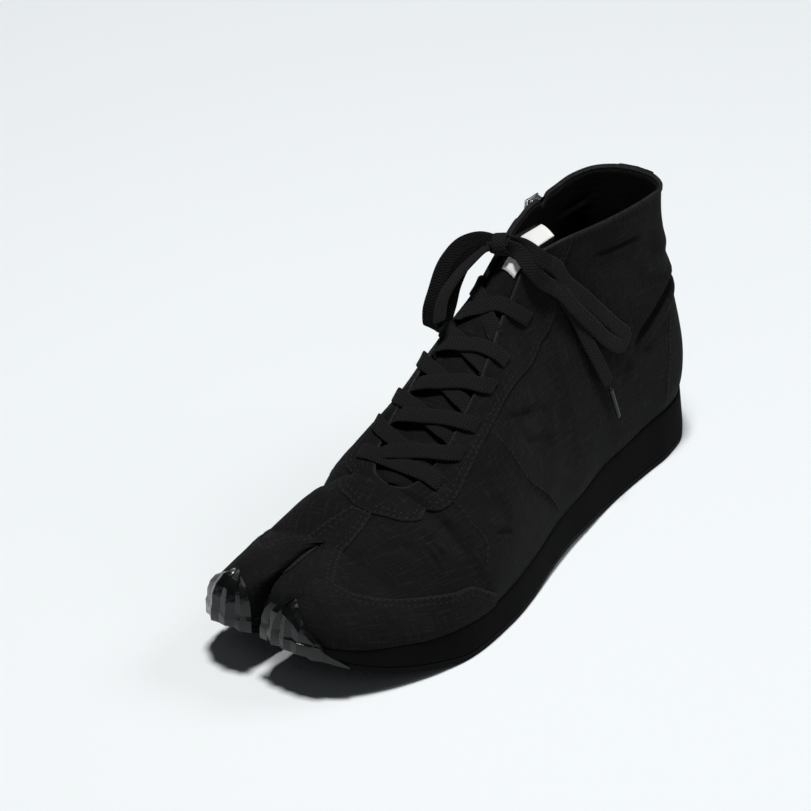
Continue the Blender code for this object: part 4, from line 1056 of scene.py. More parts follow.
def band(name, path, side, width, thick, square=0.45):
    """A closed band along a path, its width along the side directions."""
    run = tangents(path)
    side = unit(side - run * (side * run).sum(-1, keepdims=True))
    up = np.cross(side, run)
    width, thick = (np.broadcast_to(v, len(path))[None, :, None] for v in (width, thick))
    c, s = np.cos(SECTION)[:, None, None], np.sin(SECTION)[:, None, None]
    wide, high = (np.sign(v) * np.abs(v)**square / 2 for v in (c, s))
    points = path + side * wide * width + up * high * thick
    threads = np.stack(np.broadcast_arrays(run_along(path), (wide * LACE_WIDTH)[..., 0]), -1)
    piece = cloth(name, points, threads)
    weld(piece)
    return piece


def closed(count):
    """1 all along a band and 0 at both ends, where it closes."""
    ends = np.ones(count)
    ends[[0, -1]] = 0
    return ends


print("lace", LACE_WIDTH, "by", LACE_THICK, "mm")

# %% [markdown]
# The lateral edge of the cleft is turned and sewn into a thin roll. It is painted pale, a painted
# highlight along the roll beside the dark slit. A band does for it as well as for a lace: it
# follows the edge, nearly round in section, and thins out to nothing at both ends.

# %% Cleft edge
# Its line on the lateral toe, each row: rib, depth
CLEFT_ROLL = [(0.02, 2.6), (0.08, 3.7), (0.15, 4.5), (0.25, 5.8), (0.35, 7.4), (0.5, 10.0),
              (0.62, 12.6), (0.72, 15.4)]
ROLL_WIDE, ROLL_HIGH, ROLL_LIFT = 2.0, 2.2, 0.5
rib, depth = laid_line(CLEFT_ROLL, 60)
edge_path = skin(rib, below_top(rib, depth), ROLL_LIFT)
side = canvas(rib, below_top(rib, depth - 2)) - edge_path
thin = np.sin(np.linspace(0.0, math.pi, 60))**0.5
edge_roll = band("cleft_edge_roll", edge_path, side, ROLL_WIDE * thin, ROLL_HIGH * thin, 0.9)
# Painted highlight: the whole roll is painted pale.
mark(edge_roll, "wear", 0.8)
dress(edge_roll, black_canvas, "canvas")

# %% [markdown]
# The lace is braided, and its braid shows as small chevrons that run along it. They come
# from one wave along the band, pushed on by a zigzag across it, both on the cloth map, so
# that the braid bends with the lace. A fine noise makes the cotton fluffy.

# %% Cotton finish
BRAID_PITCH, CHEVRON_PITCH = 0.0016, 0.0024
cotton, wires, shader = finish("black_cotton", Sheen_Weight=0.02, Sheen_Roughness=0.4,
                               Specular_IOR_Level=0.08)
place = wires.node("UVMap", {"uv_map": "cloth"})
split = wires.node("SeparateXYZ", {}, {0: place})
along, over = split, Wire(wires.tree, split.socket.node.outputs[1])
chevron = (over * (2 * math.pi / CHEVRON_PITCH)).sine().math("ARCSINE") * 0.9
braid = (along * (2 * math.pi / BRAID_PITCH) + chevron * 1.6).sine() * 0.5 + 0.5
fluff = wires.noise(wires.node("TexCoord", out="Object"), 1500.0, 2.0)
feed(shader, wires, Base_Color=wires.blend(braid * 0.6 + fluff * 0.4, (0.0055, 0.0055, 0.0062),
                                           (0.016, 0.0157, 0.0166)),
     Roughness=0.8 + 0.15 * fluff)
bump(wires, shader, braid + 0.4 * fluff, 0.00035, 0.9)
print(cotton.name, len(cotton.node_tree.nodes), "nodes")

# %% [markdown]
# The lace starts as a straight bar over both lowest holes. From there each strand comes
# out from under one throat edge, crosses, and dives into the next hole of the other side.
# The strands that dive on the lateral side lie on top, as in the photograph.

# %% Lace rows
HOLE_SHARES = 0.135, 0.275, 0.39, 0.545, 0.66, 0.87
HOLE_DEPTHS = {False: (8, 8.5, 9, 9.5, 12, 19), True: (9, 9, 9, 9, 9, 9)}
STRAND_POINTS, PINCH_POINTS = 90, 14
# Way out from under a throat edge, each row: share of the way up, depth, lift
TUCK = (0.0, 7.0, -2.9), (0.0, 3.5, -2.7), (0.08, 0.6, -1.2)
# Way over the tongue, each row: share of the way up, share of the way across
CROSSING = (0.20, 0.22), (0.36, 0.5), (0.52, 0.78)
LANDING_SHARES = 0.72, 0.9
# Way down into a hole, each row: depth past the hole, lift
DIVE = (0.6, LIFT + 0.5), (1.0, -2.0), (-1.0, -4.5)
# Heights over the throat of the bar, of the strands below and of those on top
BAR, UNDER, OVER = 1.6, 0.9, 2.5


def above(rib, depth, lift):
    """A point off the canvas, by a depth below the top line."""
    height = below_top(rib, depth)
    return canvas(rib, height) + lift * canvas_normal(rib, height)


def into_hole(medial, row, shares, over):
    """Points from a throat edge over the eyestay and down into a hole."""
    deep = HOLE_DEPTHS[medial][row]
    edge, stay = (throat_rib(medial, share) for share in shares)
    hole = throat_rib(medial, HOLE_SHARES[row])
    return [above(edge, deep * 0.35, LIFT + 0.5 + 0.45 * over), above(stay, deep * 0.8, LIFT + 1.3),
            *(above(hole, deep + past, lift) for past, lift in DIVE)]


def strand(medial, start, end, over, dives):
    """Path, side, width and thickness of a strand from one throat side to a hole of the other."""
    s, e = HOLE_SHARES[start], HOLE_SHARES[end]
    crossing = []
    for up, f in CROSSING:
        pair = [throat_rib(side, s + (e - s) * up) for side in (medial, not medial)]
        a, b = (above(rib, 0.0, 0.0) for rib in pair)
        normal = sum(canvas_normal(rib, below_top(rib, 0.6)) for rib in pair)
        crossing.append(a * (1 - f) + b * f + unit(normal) * over)
    landing = into_hole(not medial, end, [s + (e - s) * up for up in LANDING_SHARES], over)
    if dives:
        leaving = into_hole(medial, start, (s, s), over)[::-1]
    else:
        leaving = [above(throat_rib(medial, s + (e - s) * up), depth, lift) for up, depth, lift in TUCK]
    path = through(leaving + crossing + landing, STRAND_POINTS)
    uphill = sum(above(throat_rib(side, e + 0.1), 0.0, 0.0) - above(throat_rib(side, s), 0.0, 0.0)
                 for side in (False, True))
    step = np.arange(STRAND_POINTS)
    pinch = np.clip(step[::-1] / PINCH_POINTS, 0, 1)
    if dives:
        pinch = np.minimum(pinch, np.clip(step / PINCH_POINTS, 0, 1))
    pinch = pinch * pinch * (3 - 2 * pinch)
    ends = closed(STRAND_POINTS)
    return path, uphill, (0.62 + 0.38 * pinch) * LACE_WIDTH * ends, (1.4 - 0.4 * pinch) * LACE_THICK * ends


strands = [band("lace_bar", *strand(False, 0, 0, BAR, True))]
for row in range(len(HOLE_SHARES) - 1):
    strands.append(band(f"lace_under_{row}", *strand(False, row, row + 1, UNDER, False)))
    strands.append(band(f"lace_over_{row}", *strand(True, row, row + 1, OVER, False)))
laces = joined("lace_crossings", strands)
dress(laces, cotton, "lace_cotton", "lace_rows")

# %% [markdown]
# The bow stands free at the top, and its knot comes first: a short core with one turn of lace
# wound round it. A curve with a round bevel would read as a cord, so the flat band does for
# both, and the wrap grows and moves on a little as it goes round.

# %% Knot
KNOT = [(-15, 106.5, 146), (-9.5, 104.5, 147.5), (-4, 102.5, 148.5)]
KNOT_RADII, KNOT_TURN = (4.2, 3.4), 2.3 * math.pi
CORE_SECTION, WRAP_SECTION = (6.4, 5.0), (7.2, 1.9)
knot_line = through(to_world(KNOT), 24)
axis = unit(knot_line[-1] - knot_line[0])
ring_a = unit(np.cross(axis, (0, 0, 1)))
ring_b = np.cross(axis, ring_a)
angle = np.linspace(0, KNOT_TURN, 60)[:, None]
ring = ring_a * np.cos(angle) * KNOT_RADII[0] + ring_b * np.sin(angle) * KNOT_RADII[1]
wrap = knot_line.mean(0) + ring * (1 + 0.05 * angle) + axis * (angle - 3.5) * 0.35
core = band("knot_core", knot_line, ring_a, *CORE_SECTION, 0.8)
wrapped = band("knot_wrap", wrap, axis, *WRAP_SECTION)
knot = joined("lace_knot_wrap", [wrapped, core])
dress(knot, cotton, "lace_cotton", "lace_knot")

# %% [markdown]
# The lateral end closes in a hard plastic tip, thin and nearly round, that lies on the quarter.
# Its route is given on the canvas, as rib, depth and lift, so that it stays on the cloth when
# the last is changed. A cylinder primitive would do as well, but it would need its own frame.

# %% Lace tip
TIP_LATERAL = [(5.264, 85.5, 3.4), (5.31, 104, 3.2)]
TIP_WIDE = 2.4


def on_quarter(rows):
    return [above(*row) for row in rows]


tip_start, tip_end = on_quarter(TIP_LATERAL)
tip_path = tip_start + (tip_end - tip_start) * np.linspace(0, 1, 24)[:, None]
tip_width = TIP_WIDE * np.r_[0, 0.85, np.ones(20), 0.8, 0]
tip = band("lace_tip", tip_path, np.array([0, 1.0, 0]), tip_width, tip_width * 0.8, 0.9)
plastic, wires, shader = finish("tip_plastic", Base_Color=(0.003, 0.003, 0.0033, 1), Specular_IOR_Level=0.3)
place = wires.node("TexCoord", out="Object")
feed(shader, wires, Roughness=0.2 + 0.15 * wires.noise(place, 400.0))
dress(tip, plastic, "lace_tip", "lace_tip_lateral")

# %% [markdown]
# A loop and an end leave the knot on each side. The lateral ones lie down the quarter, so
# their routes are given on the canvas too, and the rest as points off the last. A simulation
# would drop them elsewhere. Each is a band of lace, and its length is printed.

# %% Loops and ends
LOOP_MEDIAL = [(-11, 105.5, 148), (-18, 108.5, 149), (-25, 112.5, 146), (-31, 118.5, 136.5),
               (-33.5, 124.5, 121.5), (-34.5, 128, 109), (-34, 127, 102), (-32.5, 121.5, 101),
               (-31.5, 117.5, 109), (-30.5, 113.5, 122), (-26.5, 108.5, 135), (-18.5, 105, 143.5),
               (-12, 104, 146)]
END_MEDIAL = [(-12.5, 110.5, 148), (-14.5, 118, 145), (-18, 128, 138), (-19, 138, 130), (-14, 148.5, 123)]
LOOP_LATERAL_START = [(-5, 103, 149.5), (3, 103.5, 150.5)]
LOOP_LATERAL = [(4.995, 2.5, 5.4), (5.04, 9, 5.2), (5.09, 20, 5.0), (5.18, 32, 4.4), (5.28, 46, 3.4),
                (5.38, 59, 2.8), (5.425, 65, 2.8), (5.40, 68.5, 2.8), (5.31, 62.5, 3.0),
                (5.22, 50.5, 3.8), (5.12, 36, 4.6), (5.04, 23, 5.2), (4.98, 12, 5.4), (4.955, 4, 5.4)]
LOOP_LATERAL_FINISH = [(2, 106.5, 148.5), (-5, 105, 148)]
END_LATERAL_START = [(-5, 104.5, 147), (3, 106, 147)]
END_LATERAL = [(4.97, 5, 2.6), (5.02, 15, 2.4), (5.08, 28, 2.4), (5.13, 40, 2.4), (5.17, 55, 2.6),
               (5.22, 72, 3.4), (5.26, 84, 3.2)]
CORD_STEP = 1.2


def cord_band(name, route, node, side=None):
    """A free length of lace along a route, flat on the canvas or with its width along a side."""
    length = run_along(through(route, 200))[-1]
    path = through(route, int(length / CORD_STEP))
    if side is None:
        near = np.array([snap_tree.find(p)[1] for p in path])
        side = np.cross(tangents(path), canvas_normal(snap_rib[near], snap_height[near]))
        turn = np.cumprod(np.r_[1, np.where((side[1:] * side[:-1]).sum(1) < 0, -1, 1)])
        side = side * turn[:, None]
    ends = closed(len(path))
    piece = band(name, path, np.asarray(side), LACE_WIDTH * ends, LACE_THICK * ends)
    dress(piece, cotton, "lace_cotton", node)
    print(name, round(length, 1), "mm long")


cord_band("bow_loop_medial", to_world(LOOP_MEDIAL), "lace_loop_medial", side=(0.81, 0.29, -0.35))
cord_band("bow_end_medial", to_world(END_MEDIAL), "lace_end_medial", side=(0.8, 0.1, 0.5))
cord_band("bow_loop_lateral", [*to_world(LOOP_LATERAL_START), *on_quarter(LOOP_LATERAL),
                               *to_world(LOOP_LATERAL_FINISH)], "lace_loop_lateral")
cord_band("bow_end_lateral", [*to_world(END_LATERAL_START), *on_quarter(END_LATERAL)],
          "lace_end_lateral")

# %% [markdown]
# The zip runs down the medial side on two tapes that are sewn into the upper. Under the closed
# teeth they read as one strip of canvas, so one grid lies over both. Its edges sink into the
# upper, where a cut slot would need a boolean through the whole wall.

# %% Zip tape
ZIP_TOP, ZIP_BOTTOM = 2.0, 84.0
TAPE_HALF, TAPE_LIFT, TAPE_SINK = 7.0, 0.75, -0.2
TAPE_ROWS, TAPE_COLUMNS = 110, 29
tape_rib = ZIP_RIB + ZIP_RIBS_PER_MM * np.linspace(-TAPE_HALF, TAPE_HALF, TAPE_COLUMNS)
tape_depth = np.linspace(ZIP_BOTTOM, ZIP_TOP, TAPE_ROWS)[:, None]
tape_lift = np.full((TAPE_ROWS, TAPE_COLUMNS), TAPE_SINK)
tape_lift[1:-1, 1:-1] = TAPE_LIFT
tape = cloth("zip_tape_cloth", skin(tape_rib, below_top(tape_rib, tape_depth), tape_lift))
mark(tape, "wear", 0.0)
dress(tape, black_canvas, "canvas", "zip_tape")

# %% [markdown]
# Teeth, slider and pull tab are plated metal, polished and then misted by wear. The pull tab
# is handled most, so it is a little brighter. One noise drives both colour and roughness.


# %% Metal finish
def metal_finish(name, colour, rough):
    made, wires, shader = finish(name, Metallic=1.0)
    place = wires.node("TexCoord", out="Object")
    mist = wires.noise(place, 260.0, 4.0)
    feed(shader, wires, Base_Color=wires.blend(mist, tuple(0.75 * c for c in colour), colour),
         Roughness=rough + 0.22 * mist)
    return made


zip_metal = metal_finish("zip_nickel", (0.62, 0.62, 0.63), 0.2)
pull_metal = metal_finish("pull_nickel", (0.66, 0.66, 0.67), 0.16)
print("metals", zip_metal.name, pull_metal.name)

# %% [markdown]
# Metal teeth are punched from wire and clamped on both tapes, half a pitch apart, so that they
# mesh. Each is a beveled cube here, and copies are set along the zip as the stitches are along
# a seam, every other one to the other side.

# %% Zip teeth
TOOTH_SIZE = np.array([3.4, 1.15, 1.5])
TOOTH_PITCH, TOOTH_LIFT, TOOTH_ASIDE, TOOTH_BEVEL = 2.4, 1.35, 0.75, 0.28
zip_depth = np.arange(ZIP_TOP + 1.5, ZIP_BOTTOM - 1, TOOTH_PITCH / 2)
zip_line, off = snapped(canvas(ZIP_RIB, below_top(ZIP_RIB, zip_depth)), TOOTH_LIFT)
down = tangents(zip_line)
over = np.cross(off, down)
aside = np.where(np.arange(len(zip_depth)) % 2, TOOTH_ASIDE, -TOOTH_ASIDE)[:, None]
alone()
bpy.ops.mesh.primitive_cube_add(size=1)
tooth = bpy.context.object
tooth.scale = TOOTH_SIZE * MM
bpy.ops.object.transform_apply(location=False, rotation=False, scale=True)
modify(tooth, "BEVEL", width=TOOTH_BEVEL * MM, segments=2)
teeth = repeated("zip_teeth_metal", tooth, zip_line + over * aside,
                 [np.array(rows) for rows in zip(over, down, off)])
bpy.data.objects.remove(tooth, do_unlink=True)
dress(teeth, zip_metal, "zip_metal", "zip_teeth")

# %% [markdown]
# The slider is parked at the top of the zip. It is drawn in its own frame, across, up and off
# the canvas, and then turned into place: a beveled body and a wider plate that narrow
# downwards, with an arched bridge over the plate for the pull tab.

# %% Zip slider
SLIDER_DEPTH, SLIDER_LIFT = 9.0, 2.8
SLIDER_SIZE, SLIDER_TAPER = (9.0, 12.0, 3.0), 0.28
BRIDGE_CLEAR, BRIDGE_SECTION = 2.2, (2.2, 1.1)
# Bridge over the plate, each row: up the zip, height off the plate
BRIDGE = [(-3.3, -0.6), (-3.1, 1.6), (-2.2, BRIDGE_CLEAR + 0.6), (0, BRIDGE_CLEAR + 0.75),
          (2.2, BRIDGE_CLEAR + 0.6), (3.1, 1.6), (3.3, -0.6)]
METAL_ANGLE = 40
off = canvas_normal(ZIP_RIB, below_top(ZIP_RIB, SLIDER_DEPTH))
seat = canvas(ZIP_RIB, below_top(ZIP_RIB, SLIDER_DEPTH)) + off * SLIDER_LIFT
climb = canvas(ZIP_RIB, below_top(ZIP_RIB, 2.0)) - canvas(ZIP_RIB, below_top(ZIP_RIB, 16.0))
wide = unit(np.cross(climb, off))
slider_frame = np.array([wide, np.cross(off, wide), off])


def placed_block(name, low, high, bevel, taper=0.0, origin=seat):
    """A beveled block in the slider's frame, narrower at its lower end by a taper."""
    alone()
    bpy.ops.mesh.primitive_cube_add(size=1)
    piece = bpy.context.object
    piece.name = piece.data.name = name
    for vertex in piece.data.vertices:
        local = np.where(np.array(vertex.co) > 0, high, low).astype(float)
        if vertex.co.y < 0:
            local[0] *= 1 - taper
        vertex.co = local * MM
    if bevel:
        modify(piece, "BEVEL", width=bevel * MM, segments=3, limit_method="NONE")
    flat = np.empty(len(piece.data.vertices) * 3)
    piece.data.vertices.foreach_get("co", flat)
    piece.data.vertices.foreach_set("co", (flat.reshape(-1, 3) @ slider_frame + origin * MM).ravel())
    return piece


x, y, z = SLIDER_SIZE[0] / 2, SLIDER_SIZE[1] / 2, SLIDER_SIZE[2]
plate = placed_block("slider_plate", (-x, -y, z - 1.2), (x, y, z), 0.45, SLIDER_TAPER)
body = placed_block("slider_body", (-x + 0.9, -y + 0.4, 0), (x - 0.9, y - 0.4, z - 1.0), 0.4, SLIDER_TAPER)
arch = through([(0, up_zip, z + high) for up_zip, high in BRIDGE], 40) @ slider_frame + seat
bridge = band("slider_bridge", arch, wide, *BRIDGE_SECTION)
slider = joined("zip_slider_metal", [plate, body, bridge])
dress(slider, zip_metal, "zip_metal", "zip_slider", sharp=METAL_ANGLE)

# %% [markdown]
# The pull tab is a stamped plate with a window for the bridge and a slot near its end. Both
# openings are cut through it before its edges are beveled, as a press would leave them. It
# rides a body of its own, so that it can swing about the bridge.

# %% Pull tab
TAB_SIZE, TAB_BAR, TAB_BEVEL = (8.0, 25.0, 1.2), 1.2, 0.3
TAB_FLARE = 0.06
TAB_OPENINGS = [("window", (-2.1, -5.2, -3), (2.1, -0.6, 3)),
                ("slot", (-1.3, -21.5, -3), (1.3, -13.5, 3))]
hinge = seat + off * (SLIDER_SIZE[2] + BRIDGE_CLEAR / 2)
half, thick = TAB_SIZE[0] / 2, TAB_SIZE[2] / 2
tab = placed_block("zip_pull_metal", (-half, -TAB_SIZE[1], -thick), (half, TAB_BAR / 2, thick), 0,
                   -TAB_FLARE, hinge)
for name, low, high in TAB_OPENINGS:
    opening = placed_block(name, low, high, 0, 0.0, hinge)
    modify(tab, "BOOLEAN", operation="DIFFERENCE", solver="EXACT", object=opening)
    bpy.data.objects.remove(opening, do_unlink=True)
modify(tab, "BEVEL", width=TAB_BEVEL * MM, segments=3, limit_method="ANGLE")
dress(tab, pull_metal, "pull_metal", "zip_pull_tab", body="zip_pull", sharp=METAL_ANGLE)

# %% [markdown]
# The sole stands out a little all round the feather line, except in the slit between the toes.
# Its outline is taken at even ribs. The middle of the sole at each rib, a line that forks
# into the toes, is kept beside it, because the layers are closed along that line.

# %% Sole outline
SOLE_FLARE, CLEFT_FLARE, FEATHER_LEDGE = 3.0, 0.2, 1.0
SOLE_COLUMNS = 24, 26, 24, 30, 70, 80
THROAT_FRONT = np.array(VAMP_RIDGE[-1][:2], float)
half_ring = [k + i / count for k, count in enumerate(SOLE_COLUMNS) for i in range(count)]
ring_rib = np.array(half_ring + [STRETCHES / 2] + [STRETCHES - k for k in reversed(half_ring)])


def outward(rib):
    """Directions out of the feather line in plan."""
    run = feet(rib + 0.02) - feet(rib - 0.02)
    return unit(np.stack([-run[:, 1], run[:, 0]], 1))


plan, plan_out = feet(ring_rib), outward(ring_rib)
inside = np.minimum(ring_rib, STRETCHES - ring_rib)
flare = CLEFT_FLARE + (SOLE_FLARE - CLEFT_FLARE) * np.clip((inside - 0.7) / 0.5, 0, 1)
ledge = np.minimum(FEATHER_LEDGE, flare)
spine = []
for rib in ring_rib:
    if 4 <= rib <= 8:
        share = min(1, (min(rib, STRETCHES - rib) - 4) / 0.3)
        middle = (feet(rib) + feet(STRETCHES - rib)) / 2
        spine.append(THROAT_FRONT * (1 - share) + middle * share)
    else:
        spine.append(top_point(rib)[:2])
spine = np.array(spine)
edge_plan = plan + plan_out * flare[:, None]
print("sole", np.ptp(edge_plan, axis=0).round(1).tolist(), "mm wide and long")

# %% [markdown]
# The sole is two layers under the feather line, a foam wall and a thin rubber sheet, with a
# foot bed inside. Each is one grid that goes round the outline; its rows run from the middle of
# the top, over the wall and back to the middle of the bottom, so welding closes it.

# %% Sole layers
OUTSOLE_THICK, INSOLE_THICK, INSOLE_INSET, INSOLE_GAP = 4.0, 4.0, 3.2, 0.3
# Shares of the way from the edge to the middle
TOP_SHARES = 1.0, 0.75, 0.5, 0.25, 0.1, 0.02
BOTTOM_SHARES = 0.02, 0.06, 0.12, 0.25, 0.4, 0.55, 0.7, 0.85, 1.0


def tread(along):
    return smooth(TREAD_LIFT[:, 0], TREAD_LIFT[:, 1], along)


def sole_layer(name, wall, top_height, bottom_height):
    """A closed layer. Wall rows go from top to bottom: distance out, share of the height down."""
    def level(out_by, towards, share):
        at = plan + plan_out * np.broadcast_to(out_by, len(plan))[:, None]
        at = at * (1 - towards) + spine * towards
        high, low = top_height(at[:, 1]), bottom_height(at[:, 1])
        return np.column_stack([at, high + (low - high) * share])
    rows = [level(wall[0][0], towards, 0.0) for towards in TOP_SHARES]
    rows += [level(out_by, 0.0, share) for out_by, share in wall]
    rows += [level(wall[-1][0], towards, 1.0) for towards in BOTTOM_SHARES]
    piece = cloth(name, to_world(np.array(rows))[::-1])
    weld(piece, 0.00005)
    return piece


def wall_rows(top_out, bottom_out, top_round, bottom_round, count):
    """Wall profile with rounded upper and lower edges."""
    rows = [(top_out - top_round, 0.0), (top_out - 0.3 * top_round, 0.02)]
    for share in np.linspace(0.05, 0.95, count):
        rows.append((top_out + (bottom_out - top_out) * share, share))
    return rows + [(bottom_out - 0.3 * bottom_round, 0.98), (bottom_out - bottom_round, 1.0)]


midsole = sole_layer("midsole_foam", wall_rows(ledge, flare, 0.35, 0.35, 9), feather,
                     lambda along: tread(along) + OUTSOLE_THICK - 0.1)
outsole = sole_layer("outsole_rubber", wall_rows(flare - 0.1, flare - 0.3, 0.3, 0.8, 4),
                     lambda along: tread(along) + OUTSOLE_THICK - 0.35, tread)
insole = sole_layer("insole_cloth", wall_rows(-INSOLE_INSET, -INSOLE_INSET, 1.0, 0.4, 3),
                    lambda along: feather(along) + INSOLE_GAP + INSOLE_THICK,
                    lambda along: feather(along) + INSOLE_GAP)
print("layers", [(layer.name, len(layer.data.polygons)) for layer in (midsole, outsole, insole)])

# %% [markdown]
# Grooves cross the rubber sheet under the heel and the ball. A mould leaves them with plain
# walls, so they are cut with plain blocks that stop short of the edge. The blocks are joined
# first, and one boolean cuts them all.

# %% Grooves
# Each row: along at the first groove, along at the last, count
GROOVES = [(20, 76, 5), (172, 218, 4)]
GROOVE_WIDTH, GROOVE_DEPTH, GROOVE_MARGIN = 3.0, 2.2, 6.0
following = np.roll(edge_plan, -1, 0)
blocks = []
for first, last, count in GROOVES:
    for along in np.linspace(first, last, count):
        crossed = (edge_plan[:, 1] > along) != (following[:, 1] > along)
        places = edge_plan[crossed, 0]
        low = to_world((places.min() + GROOVE_MARGIN, along + GROOVE_WIDTH / 2, -GROOVE_DEPTH))
        high = to_world((places.max() - GROOVE_MARGIN, along - GROOVE_WIDTH / 2, GROOVE_DEPTH))
        alone()
        bpy.ops.mesh.primitive_cube_add(size=1)
        block = bpy.context.object
        for vertex in block.data.vertices:
            vertex.co = np.where(np.array(vertex.co) > 0, high, low) * MM
        blocks.append(block)
cutter = joined("groove_blocks", blocks)
modify(outsole, "BOOLEAN", operation="DIFFERENCE", solver="EXACT", object=cutter)
bpy.data.objects.remove(cutter, do_unlink=True)
print("grooves", len(blocks))

# %% [markdown]
# The foam is matte and very dark, with a faint pore. The rubber sheet under it is a little
# smoother, and the foot bed is a brushed black cloth. All three are the same finish, with
# other colours and another grain.


# %% Sole finish
def matte_finish(name, dark, pale, rough, grain, distance):
    made, wires, shader = finish(name, Specular_IOR_Level=0.06)
    place = wires.node("TexCoord", out="Object")
    fine, broad = wires.noise(place, grain, 3.0, 0.6), wires.noise(place, 45.0, 3.0)
    feed(shader, wires, Base_Color=wires.blend(broad * 0.6 + fine * 0.4, dark, pale),
         Roughness=rough + 0.12 * fine)
    bump(wires, shader, fine, distance, 0.8)
    return made


foam = matte_finish("black_foam", (0.0026, 0.0026, 0.0028), (0.0056, 0.0056, 0.006), 0.85, 900.0, 0.00025)
rubber = matte_finish("black_rubber", (0.0018, 0.0019, 0.002), (0.0044, 0.0046, 0.0047), 0.7, 500.0, 0.0002)
bed = matte_finish("black_brushed_cloth", (0.012, 0.012, 0.0125), (0.024, 0.024, 0.025), 0.85, 1400.0, 0.0003)
dress(midsole, foam, "midsole_foam", "midsole")
dress(outsole, rubber, "outsole_rubber", "outsole", sharp=35)
dress(insole, bed, "insole_cloth", "insole")

# %% [markdown]
# Each toe is wrapped in a hand-laid rubber guard, glossy, ridged and torn at its edges. The
# guard is a grid from the sole's lower edge up the toe; facets that run up it are added
# along its normals, and its upper and lower edges wander, as torn rubber does.

# %% Toe guards
# Upper edge of each guard, each row: rib, height
GUARD_LATERAL = np.array([(1.03, 17), (1.12, 20), (1.3, 20), (1.45, 17.5), (1.58, 12), (1.7, 6), (1.8, 2)])
GUARD_MEDIAL = np.array([(10.03, 6), (10.1, 15), (10.2, 19), (10.4, 22), (10.7, 22), (10.85, 20),
                         (10.93, 17)])
# Facets across each guard, each row: share of its width, height of the ridge
FACETS_LATERAL = np.array([(0, 0.2), (0.07, 1.3), (0.16, 0.1), (0.27, 1.5), (0.38, 0.2), (0.50, 1.4),
                           (0.60, 0.1), (0.70, 1.1), (0.80, 0.2), (0.90, 0.6), (1, 0)])
FACETS_MEDIAL = np.array([(0, 0.0), (0.12, 0.9), (0.24, 0.1), (0.38, 1.4), (0.50, 0.2), (0.62, 1.5),
                          (0.74, 0.2), (0.86, 1.3), (0.95, 0.3), (1, 0.5)])
# Strength of the facets up each guard, each row: share of its height, factor
FACET_FADE = np.array([(0, 1.05), (0.25, 1.2), (0.6, 1.4), (0.9, 1.1), (1, 0.5)])
# Thin torn strip that trails along the sole's lower edge, each row: rib, height
TAIL_LATERAL = [(1.84, 5.0), (1.92, 3.6), (2.0, 2.8), (2.08, 1.6), (2.14, 0.9)]
TAIL_MEDIAL = [(9.72, 0.9), (9.8, 1.9), (9.87, 3.4), (9.93, 6.0), (9.98, 9.5)]
GUARD_STAND, GUARD_THICK, GUARD_WALL, GUARD_BEVEL = 2.0, 1.5, 1.3, 0.22
# Heights of the rows beside the sole, and of the knee above the feather line
SKIRT, KNEE = (0.8, 5.2), 0.8
SKIRT_OFF, KNEE_OFF, TAIL_OFF, TAIL_LEAN = 0.4, 0.2, 0.9, 0.3
GUARD_SHARES = 0.2, 0.4, 0.6, 0.8, 1.0


def skirt(rib, stand, height):
    """Points beside the sole, off the feather line, by a height above its tread."""
    at = feet(rib) + outward(rib) * stand
    return to_world(np.column_stack([at, tread(at[:, 1]) + height]))


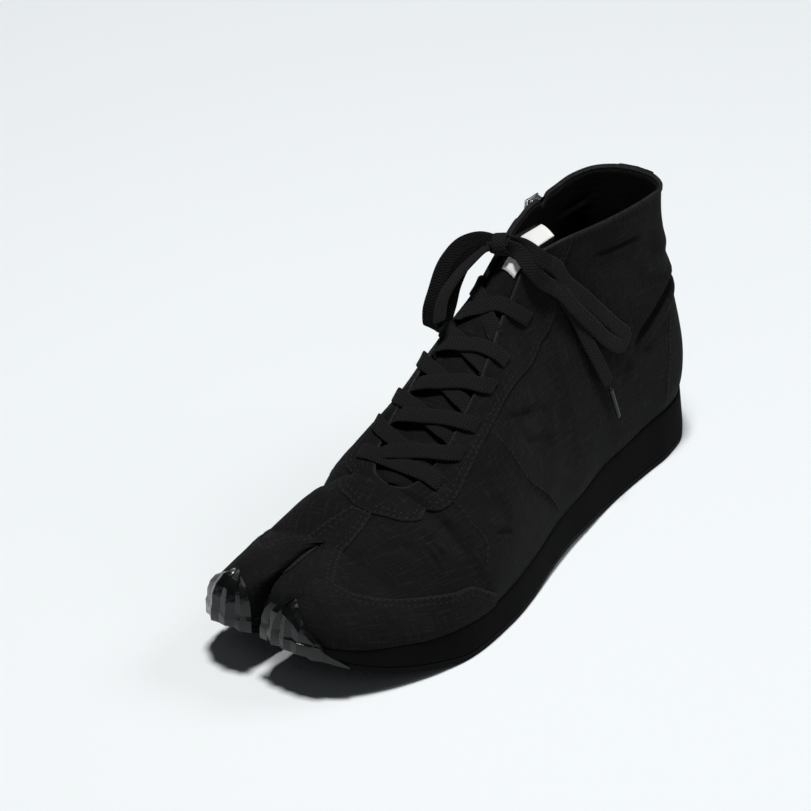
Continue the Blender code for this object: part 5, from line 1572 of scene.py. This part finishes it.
def guard(name, table, facets, tail, seed):
    """Rubber wrapped up the front of one toe in long flat facets."""
    wander = np.random.default_rng(seed)
    rib = table[0, 0] + (table[-1, 0] - table[0, 0]) * facets[:, 0]
    lean = np.r_[0, wander.uniform(-0.5, 0.5, len(rib) - 2), 0] * np.diff(rib).min()
    rows = []
    for height in SKIRT:
        rows.append(skirt(rib - lean * 0.4, SOLE_FLARE + SKIRT_OFF + GUARD_THICK,
                          height + wander.uniform(-0.5, 0.5, len(rib))))
    knee = skirt(rib, SOLE_FLARE + KNEE_OFF + GUARD_THICK, 0)
    knee[:, 2] = feather(MIDDLE_ALONG - knee[:, 1]) + KNEE
    rows.append(knee)
    for f in GUARD_SHARES:
        moved = rib + lean * (2 * f - 0.4)
        torn = wander.uniform(-0.9, 0.7, len(rib)) * f
        edge = np.maximum(smooth(table[:, 0], table[:, 1], moved) * f + torn, 1.0)
        stand = GUARD_STAND + GUARD_THICK * (1 - f**6)
        rows.append(canvas(moved, edge) + canvas_normal(moved, edge) * stand)
    strip, high = np.array(tail).T
    shares = np.linspace(0, 1, len(rows))
    ends = [skirt(strip, SOLE_FLARE + TAIL_OFF - TAIL_LEAN * share, SKIRT[0] + high * share)
            for share in shares]
    order = 1 if strip[0] > rib[0] else -1
    points = np.concatenate([np.array(rows), np.array(ends)][::order], axis=1)
    ridges = np.concatenate([facets[:, 1], np.zeros(len(tail))][::order])
    normal = unit(np.cross(np.gradient(points, axis=1), np.gradient(points, axis=0)))
    fade = np.interp(shares, *FACET_FADE.T)[:, None]
    raised = ridges * (fade + wander.uniform(-0.14, 0.14, points.shape[:2]))
    piece = cloth(name, points + normal * raised[..., None])
    modify(piece, "SOLIDIFY", thickness=GUARD_WALL * MM, offset=-1.0)
    modify(piece, "TRIANGULATE", quad_method="SHORTEST_DIAGONAL")
    modify(piece, "BEVEL", width=GUARD_BEVEL * MM, segments=2, limit_method="ANGLE",
           angle_limit=math.radians(14))
    return piece


guards = [(guard("guard_lateral_rubber", GUARD_LATERAL, FACETS_LATERAL, TAIL_LATERAL, seed=4),
           "toe_guard_lateral"),
          (guard("guard_medial_rubber", GUARD_MEDIAL, FACETS_MEDIAL, TAIL_MEDIAL, seed=9),
           "toe_guard_medial")]
print("guards", [piece.name for piece, _ in guards])

# %% [markdown]
# The guards' rubber was brushed on and shines like wet tar, with duller smears. A broad noise
# carries the smears and swells the surface, and a fine one leaves a few crumbs. Facets stay
# sharp where they meet at more than a small angle.

# %% Guard finish
FACET_ANGLE = 24
guard_rubber, wires, shader = finish("glossy_rubber", Specular_IOR_Level=0.34)
place = wires.node("TexCoord", out="Object")
smear, crumb = wires.noise(place, 110.0, 4.0, 0.6), wires.noise(place, 700.0, 3.0)
feed(shader, wires, Base_Color=wires.blend(smear, (0.002, 0.0022, 0.0024), (0.006, 0.0066, 0.007)),
     Roughness=0.17 + 0.2 * smear.between(0.4, 0.75))
bump(wires, shader, smear + 0.08 * crumb, 0.0011, 0.5)
for piece, node in guards:
    dress(piece, guard_rubber, "guard_rubber", node, sharp=FACET_ANGLE)

# %% [markdown]
# Last, the dressed shoe is measured. Both boxes are printed, the solids' and the dressed
# shoe's, so that their difference can be read.

# %% Sizes
SHOWN_BOX = [list(corner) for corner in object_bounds()]
for name, box in (("solids", CAD_BOX), ("dressed", SHOWN_BOX)):
    print(name, np.round(np.array(box) / MM, 1).tolist())
